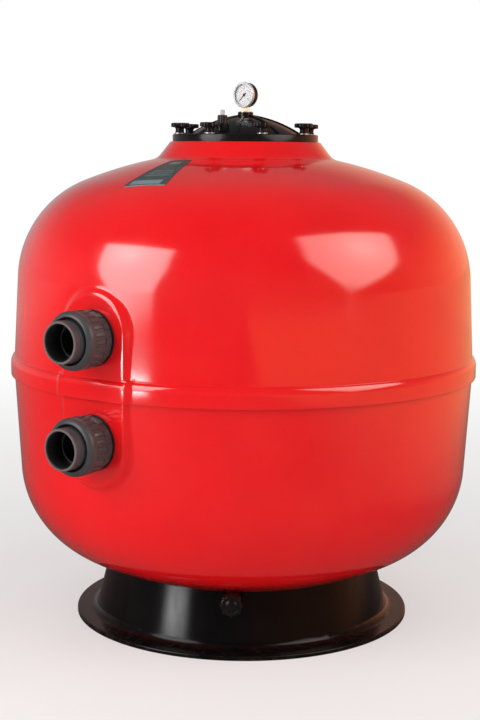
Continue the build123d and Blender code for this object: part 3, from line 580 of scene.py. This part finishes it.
def head_points(wall, draft, knuckle, crown, rise, up, inset, first_w, stop_radius, step):
    """A head's outline from first_w off the rim, along wall, knuckle and crown to stop_radius.

    In here w is the distance from the rim, and inset moves the outline into the wall.
    """
    lean, sink = sin(radians(draft)), cos(radians(draft))
    crown_centre = rise - crown
    start_r = wall - knuckle * sink
    start_w = -knuckle * lean - crown_centre
    along = -lean * start_r + sink * start_w
    run = -along + sqrt(along**2 - (start_r**2 + start_w**2 - (crown - knuckle) ** 2))
    centre_r = start_r - lean * run
    centre_w = start_w + sink * run + crown_centre
    small, large = knuckle - inset, crown - inset
    tangent = asin(centre_r / (crown - knuckle))
    end_r, end_w = centre_r + small * sink, centre_w + small * lean
    made = []
    count = max(int((end_w - first_w) / step), 2)
    for n in range(count):
        w = first_w + (end_w - first_w) * n / count
        made.append((end_r + (end_w - w) * lean / sink, RIM + up * w))
    top = radians(90 - draft)
    count = int(small * (top - tangent) / step)
    for n in range(count):
        angle = top + (tangent - top) * n / count
        made.append((centre_r + small * sin(angle), RIM + up * (centre_w + small * cos(angle))))
    stop = asin(stop_radius / large)
    count = int(large * (tangent - stop) / (step * 2))
    for n in range(count + 1):
        angle = tangent + (stop - tangent) * n / count
        made.append((large * sin(angle), RIM + up * (crown_centre + large * cos(angle))))
    return made


def on_pad(x, z):
    """Distance outside the pad's edge at (x, z), and the depth of its surface behind its face."""
    across = hypot(x, max(PAD_LOW - z, 0.0, z - PAD_HIGH)) - PAD_HALF_WIDTH
    return across, (hypot(across, PAD_EDGE) + across) / 2 * PAD_BACK_SLOPE


def press_wall(x, y, z):
    """The wall with the port pad raised on it and flattened where the wall stands proud."""
    if y > PAD_BACK or abs(x) > PAD_REACH or not PAD_LOW - PAD_REACH < z < PAD_HIGH + PAD_REACH:
        return x, y, z
    across, depth = on_pad(x, z)
    if across < -PAD_FLAT:
        return x, -PAD_FACE, z
    share = min(max(-across / PAD_FLAT, 0.0), 1.0)
    raised = smooth_max(-y, PAD_FACE - depth, 5.0)
    return x, -(raised * (1 - share) + PAD_FACE * share), z


def press_bell(x, y, z, radius):
    """The seam bell with its flat over the pad."""
    if y > PAD_BACK or abs(x) > PAD_REACH:
        return x, y, z
    across = abs(x) - BELL_PAD_HALF_WIDTH
    depth = (hypot(across, PAD_EDGE) + across) / 2
    return x, -smooth_max(-y, radius + BELL_PAD_PROUD - depth, 2.0), z


def shell_angles():
    """Columns round the tank, closer together over the pad."""
    fine, edge, rest = 0.3, 56, 250
    near = [n * fine for n in range(-edge, edge + 1)]
    far = [edge * fine + (360 - 2 * edge * fine) * n / rest for n in range(1, rest)]
    return near + far


def add_upper_shell():
    """The upper half: seam bell, wall, crown, neck and the inside. Returns its outer outline."""
    deep, tall = BELL_ROLL
    turns = [n * pi / 22 for n in range(1, 11)]
    roll = [(BELL_RADIUS - deep * (1 - cos(a)), BELL_ROLL_START + tall * sin(a)) for a in turns]
    bell = [(450.1, BELL_LOW), (BELL_RADIUS, BELL_LOW, 1.6), (BELL_RADIUS, 495.0),
            (BELL_RADIUS, BELL_ROLL_START)]
    bell = rounded(bell + roll + [(449.72, BELL_HIGH, 0.6), (449.5, 525.0)], closed=False, steps=6)
    slope, large = NECK_SLOPE, UPPER["crown"]
    a = 1 + 1 / slope**2
    drop = NECK_FACE - CROWN_CENTRE + NECK_RADIUS / slope
    foot = (drop / slope - sqrt((drop / slope) ** 2 - a * (drop**2 - large**2))) / a
    foot_z = CROWN_CENTRE + sqrt(large**2 - foot**2)
    outer = head_points(**UPPER, inset=0.0, first_w=20.0, stop_radius=foot + 32.0,
                        step=OUTSIDE_STEP)
    neck = rounded([outer[-1], (foot, foot_z, NECK_FOOT_ROUND), (NECK_RADIUS, NECK_FACE, 1.4),
                    (SEAL_GROOVE[1], NECK_FACE)], closed=False, steps=12)
    groove_in, groove_out, groove_depth = SEAL_GROOVE
    top = [(groove_out, NECK_FACE - groove_depth), (groove_in, NECK_FACE - groove_depth),
           (groove_in, NECK_FACE), (NECK_BORE + 1, NECK_FACE), (NECK_BORE, NECK_FACE - 1)]
    inner = head_points(**UPPER, inset=SHELL_WALL, first_w=0.0, stop_radius=NECK_BORE,
                        step=INSIDE_STEP)
    rows = bell + outer + neck[1:] + top + inner[::-1] + [(451.5, RIM)]
    outside = len(bell) + len(outer)

    def shape(row, x, y, z):
        if row < len(bell) - 1:
            return press_bell(x, y, z, rows[row][0])
        return press_wall(x, y, z) if row < outside else (x, y, z)

    points, faces = spin(rows, shell_angles(), True, shape=shape)
    skin = add_piece("upper_shell_skin", points, faces, "tank", "shell_red", ["upper_shell"])
    drill(skin, side_frame(0, PORTS["inlet"]), PORT_HOLE, *PORT_DRILLED)
    return bell[:1] + outer + neck[1:]


def add_lower_shell():
    """The lower half: wall, knuckle and crown, with the lower part of the port pad."""
    whole = dict(LOWER, first_w=0.0, stop_radius=0.0)
    outer = head_points(**whole, inset=0.0, step=OUTSIDE_STEP)
    inner = head_points(**whole, inset=SHELL_WALL, step=INSIDE_STEP)
    outer[-1], inner[-1] = (0.0, outer[-1][1]), (0.0, inner[-1][1])
    rows = outer[::-1] + inner

    def shape(row, x, y, z):
        return press_wall(x, y, z) if row < len(outer) else (x, y, z)

    points, faces = spin(rows, shell_angles(), False, shape=shape)
    skin = add_piece("lower_shell_skin", points, faces, "tank", "shell_red", ["lower_shell"])
    drill(skin, side_frame(0, PORTS["outlet"]), PORT_HOLE, *PORT_DRILLED)
    drill(skin, side_frame(DRAIN_AZIMUTH, DRAIN_HEIGHT), DRAIN_HOLE, *DRAIN_DRILLED)


def add_shell_bosses():
    """The seats inside the ports, and the boss under the tank that holds the drain tube."""
    radius, start, end = PORT_SEAT
    rows = rounded([(PORT_HOLE, start), (radius, start, 1.5), (radius, end), (PORT_HOLE, end)])
    for name, height in PORTS.items():
        add_turned(name + "_seat", rows, "tank", "shell_red", place=side_frame(0, height))
    radius, start, end = DRAIN_BOSS
    rows = rounded([(DRAIN_HOLE, start), (radius, start, 2.0), (radius, end, 2.0), (DRAIN_HOLE, end)])
    add_turned("drain_boss", rows, "tank", "knob_black",
               place=side_frame(DRAIN_AZIMUTH, DRAIN_HEIGHT))


# ---------------------------------------------------------------- small parts
WASHER_TOP = 948.3
KNOB_TOP = 967.3
STUD_CIRCLE = 130.0
LID_CLOCKING = 4.5                                  # degrees from -Y to the first knob
KNOB_REST_TURNS = (0, 25, 58, 11, 40, 5, 66, 31)    # how far each knob is turned, in degrees
KNOB_CORE, KNOB_LOBE, KNOB_LOBES = 12.2, 5.6, 5
KNOB_LOBE_CENTRE = 13.0
STUD_BORE = 5.3
NUT_START, NUT_END = 472.0, 513.0
NUT_RADIUS = 51.5
NUT_THREAD = 42.3
LIP_RADIUS = 38.35
LOCKNUT_START, LOCKNUT_END = 453.0, 471.0
NUT_BAND = 494.5                                    # where the nut's smooth collar starts
NUT_THREAD_END = 500.3
NUT_RIBS, LOCKNUT_RIBS = 24, 12


def lobe_radius(angle):
    """Radius of a knob's five-lobed outline."""
    pitch = 360 / KNOB_LOBES
    off = radians((angle + pitch / 2) % pitch - pitch / 2)
    side = KNOB_LOBE_CENTRE * sin(off)
    if abs(side) >= KNOB_LOBE:
        return KNOB_CORE
    return smooth_max(KNOB_CORE, KNOB_LOBE_CENTRE * cos(off) + sqrt(KNOB_LOBE**2 - side**2), 2.0)


def add_knobs():
    """Hand knobs: a flared neck, five rounded lobes and a dished top with a plugged centre."""
    under = WASHER_TOP + 11.0
    rows = [  # (share of the lobed outline, radius or scale, z)
        (0, 0.0, KNOB_TOP - 5.0), (0, STUD_BORE, KNOB_TOP - 5.0), (0, STUD_BORE, WASHER_TOP),
        (0, 8.4, WASHER_TOP), (0, 9.0, WASHER_TOP + 0.6), (0, 9.0, WASHER_TOP + 1.8),
        (0, 8.3, WASHER_TOP + 2.4), (0, 8.2, WASHER_TOP + 7.0), (0, 8.9, WASHER_TOP + 9.2),
        (0.35, 0.80, under - 0.6),
        (1, 0.91, under), (1, 0.97, under + 0.35), (1, 1.0, under + 1.2), (1, 1.0, KNOB_TOP - 2.6),
        (1, 0.985, KNOB_TOP - 1.2), (1, 0.94, KNOB_TOP - 0.35), (1, 0.88, KNOB_TOP),
        (0, 10.2, KNOB_TOP), (0, 9.4, KNOB_TOP - 0.3), (0, 8.8, KNOB_TOP - 1.3),
        (0, 6.4, KNOB_TOP - 1.3), (0, 6.1, KNOB_TOP - 0.7), (0, 5.6, KNOB_TOP - 0.45),
        (0, 0.0, KNOB_TOP - 0.35),
    ]
    plain = [(size if share == 0 else size * KNOB_CORE, z) for share, size, z in rows]

    def swell(row, angle):
        share, size, _ = rows[row]
        if share == 0:
            return 0.0
        return size * (KNOB_CORE + share * (lobe_radius(angle) - KNOB_CORE)) - size * KNOB_CORE

    for n, rest_turn in enumerate(KNOB_REST_TURNS):
        azimuth = LID_CLOCKING + n * 360 / len(KNOB_REST_TURNS)
        place = Matrix.Rotation(radians(azimuth), 4, "Z") @ Matrix.Translation((0, -STUD_CIRCLE, 0))
        place = place @ Matrix.Rotation(radians(rest_turn), 4, "Z")
        knob = f"knob_{n + 1}"
        add_turned(knob + "_grip", plain, knob, "knob_black", ["lid_" + knob], place, 140,
                   closed=False, swell=swell)


def ribs(count, width, height, angle, slope=0.9):
    """Height at angle of smooth-edged ribs, width and slope in degrees."""
    pitch = 360 / count
    off = abs((angle + pitch / 2) % pitch - pitch / 2)
    edge = (width / 2 - off) / slope + 0.5
    edge = min(max(edge, 0.0), 1.0)
    return height * edge * edge * (3 - 2 * edge)


DRAIN_END = 312.0
CAP_LOBES = 8
CAP_BORE, CAP_FLOOR = 15.4, DRAIN_END + 2.05        # the floor clears the seal by 0.05
CAP_START, CAP_FACE = DRAIN_END - 14.0, DRAIN_END + 7.0


def add_drain_cap():
    """Screw cap with eight finger lobes and a domed centre."""
    rows = [  # (share of the lobes, radius, distance from the tank's axis)
        (0, 0.0, CAP_FLOOR), (0, CAP_BORE, CAP_FLOOR), (0, CAP_BORE, CAP_START),
        (1, 18.8, CAP_START), (1, 19.5, CAP_START + 0.7), (1, 19.5, CAP_FACE - 2.0),
        (1, 19.2, CAP_FACE - 0.9), (1, 18.3, CAP_FACE - 0.2), (1, 17.3, CAP_FACE),
        (0, 13.6, CAP_FACE), (0, 12.9, CAP_FACE - 0.6), (0, 11.6, CAP_FACE - 0.6),
        (0, 10.0, CAP_FACE + 0.4), (0, 9.2, CAP_FACE + 1.5), (0, 7.6, CAP_FACE + 2.3),
        (0, 5.0, CAP_FACE + 2.75), (0, 2.5, CAP_FACE + 2.95), (0, 0.0, CAP_FACE + 3.0),
    ]
    add_turned("drain_cap_grip", [row[1:] for row in rows], "drain_cap", "knob_black",
               ["drain_cap"], side_frame(DRAIN_AZIMUTH, DRAIN_HEIGHT), 240, closed=False,
               swell=lambda row, angle: rows[row][0] * ribs(CAP_LOBES, 8.6, 2.4, angle, 3.0))


def add_nuts():
    """Union nuts with a ribbed grip behind a smooth rounded collar, and ribbed locknuts."""
    outline = [  # (radius, distance from the tank's axis, share of the ribs)
        (NUT_THREAD, NUT_START, 0), (48.5, NUT_START, 0), (49.3, NUT_START + 0.8, 0),
        (49.3, NUT_START + 1.6, 0), (49.3, NUT_START + 2.6, 1), (49.3, NUT_BAND - 1.5, 1),
        (49.3, NUT_BAND, 0.6), (50.6, NUT_BAND + 0.9, 0.2), (NUT_RADIUS, NUT_BAND + 2.0, 0),
        (NUT_RADIUS, 503.0, 0), (51.2, 505.5, 0), (50.2, 507.8, 0), (48.6, 509.8, 0),
        (46.6, 511.5, 0), (44.6, 512.6, 0), (43.0, NUT_END, 0),
        (LIP_RADIUS + 3.6, NUT_END - 0.2, 0), (LIP_RADIUS + 2.6, NUT_END - 1.0, 0),
        (LIP_RADIUS + 1.0, NUT_END - 5.0, 0), (LIP_RADIUS, NUT_END - 6.0, 0),
        (LIP_RADIUS, NUT_THREAD_END, 0), (NUT_THREAD, NUT_THREAD_END, 0),
    ]
    lock = [
        (NUT_THREAD, LOCKNUT_START, 0), (46.9, LOCKNUT_START, 0), (47.7, LOCKNUT_START + 0.8, 0),
        (47.7, LOCKNUT_START + 2.0, 0), (47.7, LOCKNUT_START + 3.0, 1),
        (47.7, LOCKNUT_END - 3.0, 1), (47.7, LOCKNUT_END - 2.0, 0), (47.7, LOCKNUT_END - 0.8, 0),
        (46.9, LOCKNUT_END, 0), (NUT_THREAD, LOCKNUT_END, 0),
    ]
    for name, height in PORTS.items():
        frame_at = side_frame(0, height)
        add_turned(name + "_nut_ring", [row[:2] for row in outline], name + "_nut", "pvc_grey",
                   [name + "_union_nut"], frame_at, 480,
                   swell=lambda row, angle: outline[row][2] * ribs(NUT_RIBS, 7.6, 2.1, angle))
        add_turned(name + "_locknut_ring", [row[:2] for row in lock], "tank", "pvc_grey",
                   [name + "_locknut"], frame_at, 360,
                   swell=lambda row, angle: lock[row][2] * ribs(LOCKNUT_RIBS, 13.0, 1.7, angle))


LABEL_CENTRE, LABEL_LENGTH = 254.5, 139.0
LABEL_WIDE, LABEL_NARROW = 88.0, 44.0
LABEL_TWIST = radians(9.0)
LABEL_ROUND = 6.0
LABEL_LIFT, LABEL_LIP = 0.55, 0.45
LABEL_LIP_WIDTH = 3.4


def label_place(across, along, lift, profile):
    """A point on the crown: across and along the label from its centre, along points inwards."""
    x = across * cos(LABEL_TWIST) - along * sin(LABEL_TWIST)
    y = across * sin(LABEL_TWIST) + along * cos(LABEL_TWIST) - LABEL_CENTRE
    r = hypot(x, y)
    for (r0, z0), (r1, z1) in zip(profile, profile[1:]):
        if r1 <= r <= r0:
            z = z0 + (z1 - z0) * (r0 - r) / max(r0 - r1, 1e-9)
            lean = Vector((z0 - z1, r1 - r0)).normalized()
            out = 1 + abs(lean.x) * lift / r
            return x * out, y * out, z + abs(lean.y) * lift
    raise ValueError("the label runs off the crown")


def add_label(profile):
    """A thin plate bonded to the crown, with a raised rim and bare fields."""
    half = LABEL_LENGTH / 2
    steps = [0.0, 0.6, 1.3, 2.2, 3.0, 4.5, 6.0]
    inset = steps[-1]
    along = [-half + s for s in steps]
    along += [-half + inset + (LABEL_LENGTH - 2 * inset) * n / 40 for n in range(1, 40)]
    along += [half - s for s in reversed(steps)]
    share = [-1.0, -0.985, -0.965, -0.94, -0.92] + [n / 12 for n in range(-10, 11)]
    share += [0.92, 0.94, 0.965, 0.985, 1.0]
    points = []
    for layer in (1, 0):
        for v in along:
            width = LABEL_WIDE + (LABEL_NARROW - LABEL_WIDE) * (v + half) / LABEL_LENGTH
            near = min(v + half, half - v)
            short = max(LABEL_ROUND - near, 0.0)
            width = width / 2 - (LABEL_ROUND - sqrt(max(LABEL_ROUND**2 - short**2, 0.0)))
            for s in share:
                edge = min((1 - abs(s)) * width, near)
                lip = LABEL_LIP * min(max((LABEL_LIP_WIDTH - edge) / 0.8, 0.0), 1.0)
                lip *= min(edge / 0.5 + 0.4, 1.0)
                lift = LABEL_LIFT + lip if layer else 0.02
                points.append(label_place(s * width, v, lift, profile))
    wide, tall = len(share), len(along)
    faces = []
    for n in range(tall - 1):
        for m in range(wide - 1):
            a = n * wide + m
            faces.append((a, a + 1, a + wide + 1, a + wide))
            b = a + wide * tall
            faces.append((b, b + wide, b + wide + 1, b + 1))
    rim = list(range(wide)) + [n * wide + wide - 1 for n in range(1, tall)]
    rim += [(tall - 1) * wide + m for m in range(wide - 2, -1, -1)]
    rim += [n * wide for n in range(tall - 2, 0, -1)]
    for a, b in zip(rim, rim[1:] + rim[:1]):
        faces.append((a, a + wide * tall, b + wide * tall, b))

    def flat(co):
        """Across and along the label, in decimetres."""
        x, y = co.x / MM, co.y / MM + LABEL_CENTRE
        across = x * cos(LABEL_TWIST) + y * sin(LABEL_TWIST)
        return across / 100, (y * cos(LABEL_TWIST) - x * sin(LABEL_TWIST)) / 100

    add_piece("name_plate_face", points, faces, "tank", "plate_dark", ["name_plate"], uv=flat)


# ---------------------------------------------------------------- gauge dial
DIAL_LOW, DIAL_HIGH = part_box("gauge_dial")
GAUGE_CENTRE = (DIAL_LOW.z + DIAL_HIGH.z) / 2 / MM
DIAL_FACE = -DIAL_LOW.y / MM
SCALE_SWEEP, SCALE_START = 270.0, 225.0
SCALE_RADIUS = 17.6
SCALE_NUMBERS, MARKS_PER_NUMBER = 5, 5
NUMBER_RADIUS, NUMBER_SIZE = 12.4, 3.6
DIAL_PRINT = 0.12                       # thickness of the print
DIAL_GAP = 0.01                         # between the dial and the print
BLOCK_FACES = ((0, 1, 3, 2), (4, 6, 7, 5), (0, 4, 5, 1), (2, 3, 7, 6), (0, 2, 6, 4), (1, 5, 7, 3))


def on_dial(angle, radius, lift):
    """A point on the dial; angle turns clockwise from straight up, seen from the front."""
    a = radians(angle)
    return radius * sin(a), -(DIAL_FACE + lift), GAUGE_CENTRE + radius * cos(a)


def add_dial_marks():
    """Scale marks and numbers of a plain pressure dial."""
    points, faces = [], []
    steps = (SCALE_NUMBERS - 1) * MARKS_PER_NUMBER
    for n in range(steps + 1):
        angle = SCALE_START + SCALE_SWEEP * n / steps
        length, width = (3.0, 0.42) if n % MARKS_PER_NUMBER == 0 else (1.6, 0.20)
        first = len(points)
        for lift in (DIAL_GAP, DIAL_PRINT):
            for r in (SCALE_RADIUS - length, SCALE_RADIUS):
                turn = width / 2 / r * 180 / pi
                points += [on_dial(angle - turn, r, lift), on_dial(angle + turn, r, lift)]
        faces += [[first + corner for corner in face] for face in BLOCK_FACES]
    add_piece("dial_scale", points, faces, "lid", "gauge_black")
    for n in range(SCALE_NUMBERS):
        add_number(str(n), SCALE_START + SCALE_SWEEP * n / (SCALE_NUMBERS - 1))


def add_number(digit, angle):
    """An upright printed digit on the dial."""
    data = bpy.data.curves.new("number_" + digit, "FONT")
    data.body = digit
    data.size = NUMBER_SIZE * MM
    data.align_x = "CENTER"
    data.align_y = "CENTER"
    data.extrude = DIAL_PRINT / 2 * MM
    data.resolution_u = 4
    text = add_object("number_text", data)
    mesh = evaluated_mesh(text)
    bpy.data.objects.remove(text)
    x, y, z = on_dial(angle, NUMBER_RADIUS, DIAL_PRINT / 2 + DIAL_GAP)
    mesh.transform(Matrix.Rotation(radians(90), 4, "X"))
    mesh.transform(Matrix.Translation((x * MM, y * MM, z * MM)))
    attach("dial_number_" + digit, mesh, "lid", "gauge_black")


crown_profile = add_upper_shell()
add_lower_shell()
add_shell_bosses()
add_knobs()
add_drain_cap()
add_nuts()
add_label(crown_profile)
add_dial_marks()


# ---------------------------------------------------------------- floor, light and camera
FLOOR_SIZE = 120.0
FLOOR_PALED = (0.45, 1.0, 0.6, 3.2)     # share of white seen near and far, and where that is
FLOOR_GLOSS = 0.93                      # how much of the floor's mirror image is the dim one
FILL_LIGHT = 0.55
GLOSS_SHARE = 0.13                      # how much of the backdrop the gloss shows
EDGE_SHARE = 0.46                       # the same behind the tank, which only its edges mirror
CAMERA_AZIMUTH = radians(35.5)
CAMERA_DISTANCE = 2.786
CAMERA_HEIGHT = 0.906
CAMERA_PITCH = radians(8.233)
CAMERA_YAW = radians(0.142)
CAMERA_ROLL = radians(0.46)
CAMERA_LENS = 70.65
# Each lamp's place (azimuth, elevation, distance, aim, width, height, roll), radiance, colour,
# and shape of its glow, as light_up takes it.
LAMPS = {
    "left_box": (
        (-23, 18, 2.4, (0.06, -0.43, 0.70), 1.90, 2.16, 9), 3.6, (1.0, 0.94, 0.94),
        dict(foot=0.58, soft=0.10, fade=0.14, core=(0.42, 0.80), reach=(0.20, 0.18), gain=0.68)),
    "right_box": (
        (95, 25, 2.4, (0.37, -0.22, 0.72), 2.55, 2.90, -17), 2.0, (1.0, 0.91, 0.82),
        dict(foot=0.0, soft=0.12, fade=0.30, core=(0.60, 0.72), reach=(0.20, 0.20), gain=1.0)),
    "low_box": (
        (-18, 6, 2.2, (0.05, -0.27, 0.06), 1.00, 0.28, 0), 9.6, (1.0, 1.0, 1.0),
        dict(foot=0.75, soft=0.25, fade=0.3, core=(0.35, 0.6), reach=(0.3, 0.4), gain=0.5)),
}


def sideways(azimuth, elevation=0.0):
    """Unit vector at azimuth from -Y towards +X, and elevation above the horizon."""
    return Vector((sin(azimuth) * cos(elevation), -cos(azimuth) * cos(elevation), sin(elevation)))


TOWARD_CAMERA = sideways(CAMERA_AZIMUTH)
CAMERA_RIGHT = sideways(CAMERA_AZIMUTH + pi / 2)


def make_floor():
    """Pale floor that fades to white for the camera, and that gloss mirrors dimly: brighter far
    behind the tank, and warm on the camera's right."""
    mesh = bpy.data.meshes.new("floor")
    half = FLOOR_SIZE / 2
    mesh.from_pydata([(-half, -half, 0), (half, -half, 0), (half, half, 0), (-half, half, 0)], [],
                     [(0, 1, 2, 3)])
    floor = add_object("floor", mesh)
    look = Look("floor")
    shade = look.noise(1.3, 4.0, 0.6)
    look.join(look.ramp(shade, (0.3, (0.76, 0.76, 0.76)), (0.7, (0.80, 0.80, 0.80))), "Base Color")
    look.put(roughness=0.7, specular_ior_level=0.2)
    path = look.node("ShaderNodeLightPath").outputs
    away = look.node("ShaderNodeVectorMath", {0: look.place}, operation="LENGTH").outputs["Value"]
    paled = look.product(look.spread(away, *FLOOR_PALED), path["Is Camera Ray"])
    white = look.emission((1.0, 1.0, 1.0, 1.0), 1.0)
    far = look.spread(look.along(look.place, -TOWARD_CAMERA), 0.06, 0.40, 0.3, 5.5)
    rightward = look.along(look.place, CAMERA_RIGHT)
    warm = look.spread(rightward, 0.0, 1.0, 0.35, 2.2, smooth=True)
    tint = look.blend(warm, (1.25, 0.72, 0.68), (2.3, 0.95, 0.42))
    dim = look.emission(tint, look.maths("MAXIMUM", far, look.product(warm, 0.36)))
    dulled = look.product(path["Is Glossy Ray"], FLOOR_GLOSS)
    seen = look.mix_shaders(paled, look.shader.outputs[0], white)
    look.surface(look.mix_shaders(dulled, seen, dim))
    floor.data.materials.append(look.done())


def make_lamp(name, place, radiance, colour, glow):
    """A soft box seen from aim at azimuth and elevation."""
    azimuth, elevation, distance, aim, width, height, roll = place
    data = bpy.data.lights.new(name, "AREA")
    data.shape = "RECTANGLE"
    data.size = width
    data.size_y = height
    data.color = colour
    data.energy = radiance * width * height * pi
    light_up(data, **glow)
    lamp = add_object(name, data)
    out = sideways(radians(azimuth), radians(elevation))
    turn = out.to_track_quat("Z", "Y").to_matrix().to_4x4() @ Matrix.Rotation(radians(roll), 4, "Z")
    lamp.matrix_world = Matrix.Translation(Vector(aim) + out * distance) @ turn


def light_up(data, foot, soft, fade, core, reach, gain):
    """Shape a soft box's light: foot is its share of width at the bottom, soft and fade blur its
    sides and its ends, and a brighter core of the given reach and gain sits inside."""
    data.use_nodes = True
    graph = Graph(data.node_tree)
    across, up = graph.parts(graph.node("ShaderNodeNewGeometry").outputs["Parametric"])[:2]
    half = graph.spread(up, foot / 2, 0.5 - soft / 2, 0.0, 0.62, smooth=True)
    off = graph.maths("ABSOLUTE", graph.maths("SUBTRACT", across, 0.5))
    beyond = graph.maths("DIVIDE", graph.maths("SUBTRACT", off, half), soft / 2)
    sides = graph.spread(beyond, 1.0, 0.0, -1.0, 1.0, smooth=True)
    ends = graph.product(graph.spread(up, 0.0, 1.0, 0.0, fade, smooth=True),
                         graph.spread(up, 1.0, 0.0, 1 - soft * 0.6, 1.0, smooth=True))
    spans = [graph.maths("DIVIDE", graph.maths("SUBTRACT", value, middle), wide)
             for value, middle, wide in zip((across, up), core, reach)]
    spot = graph.maths("ADD", graph.product(spans[0], spans[0]), graph.product(spans[1], spans[1]))
    spot = graph.maths("DIVIDE", gain, graph.maths("ADD", spot, 1.0))
    strength = graph.product(sides, ends, graph.maths("ADD", spot, 1.0))
    graph.links.new(strength, graph.nodes["Emission"].inputs["Strength"])


def make_world():
    """White for the camera, a dim tinted backdrop for gloss that is brighter behind the tank, and
    an even fill for everything else."""
    world = bpy.data.worlds.new("studio")
    bpy.context.scene.world = world
    world.use_nodes = True
    graph = Graph(world.node_tree)
    graph.nodes.clear()
    path = graph.node("ShaderNodeLightPath").outputs
    toward = graph.node("ShaderNodeTexCoord").outputs["Generated"]
    rightward = graph.along(toward, CAMERA_RIGHT)
    up = graph.parts(toward)[2]
    band = graph.ramp(up, (0.15, 1.0), (0.50, 0.40))
    sides = graph.ramp(graph.spread(rightward, 0.0, 1.0, -0.2, 0.75),
                       (0.0, (0.95, 0.80, 0.80)), (1.0, (3.0, 1.10, 0.52)))
    sides = graph.blend(graph.spread(up, 0.0, 1.0, 0.36, 0.60), sides, (1.0, 0.90, 0.88))
    backdrop = graph.blend(1.0, band, sides, "MULTIPLY")
    colour = graph.blend(path["Is Camera Ray"], backdrop, (1.0, 1.0, 1.0))
    behind = graph.along(toward, -TOWARD_CAMERA)
    shown = graph.spread(behind, GLOSS_SHARE, EDGE_SHARE, -0.3, 1.0)
    dull = graph.product(path["Is Glossy Ray"], graph.maths("SUBTRACT", 1.0, shown))
    bright = graph.maths("SUBTRACT", 1.0, dull)
    pale = graph.node("ShaderNodeBackground", {"Color": colour, "Strength": bright}).outputs[0]
    fill = graph.node("ShaderNodeBackground", {"Color": (1.0, 0.99, 0.98, 1.0),
                                               "Strength": FILL_LIGHT}).outputs[0]
    seen = graph.maths("MAXIMUM", path["Is Camera Ray"], path["Is Glossy Ray"])
    seen = graph.maths("MAXIMUM", seen, path["Is Transmission Ray"])
    graph.node("ShaderNodeOutputWorld", {"Surface": graph.mix_shaders(seen, fill, pale)})


def make_camera():
    """The photograph's own view, level but for its small roll."""
    data = bpy.data.cameras.new("camera")
    data.lens = CAMERA_LENS
    camera = add_object("camera", data)
    position = TOWARD_CAMERA * CAMERA_DISTANCE + Vector((0, 0, CAMERA_HEIGHT))
    forward = sideways(CAMERA_AZIMUTH + CAMERA_YAW) * -cos(CAMERA_PITCH)
    forward = forward - Vector((0, 0, sin(CAMERA_PITCH)))
    right = forward.cross(Vector((0, 0, 1))).normalized()
    up = right.cross(forward).normalized()
    x_axis = right * cos(CAMERA_ROLL) + up * sin(CAMERA_ROLL)
    y_axis = up * cos(CAMERA_ROLL) - right * sin(CAMERA_ROLL)
    turn = Matrix((x_axis, y_axis, -forward)).transposed().to_4x4()
    camera.matrix_world = Matrix.Translation(position) @ turn
    bpy.context.scene.camera = camera


make_floor()
make_world()
for lamp_name, lamp_values in LAMPS.items():
    make_lamp(lamp_name, *lamp_values)
make_camera()

bpy.context.scene.view_settings.view_transform = "Standard"
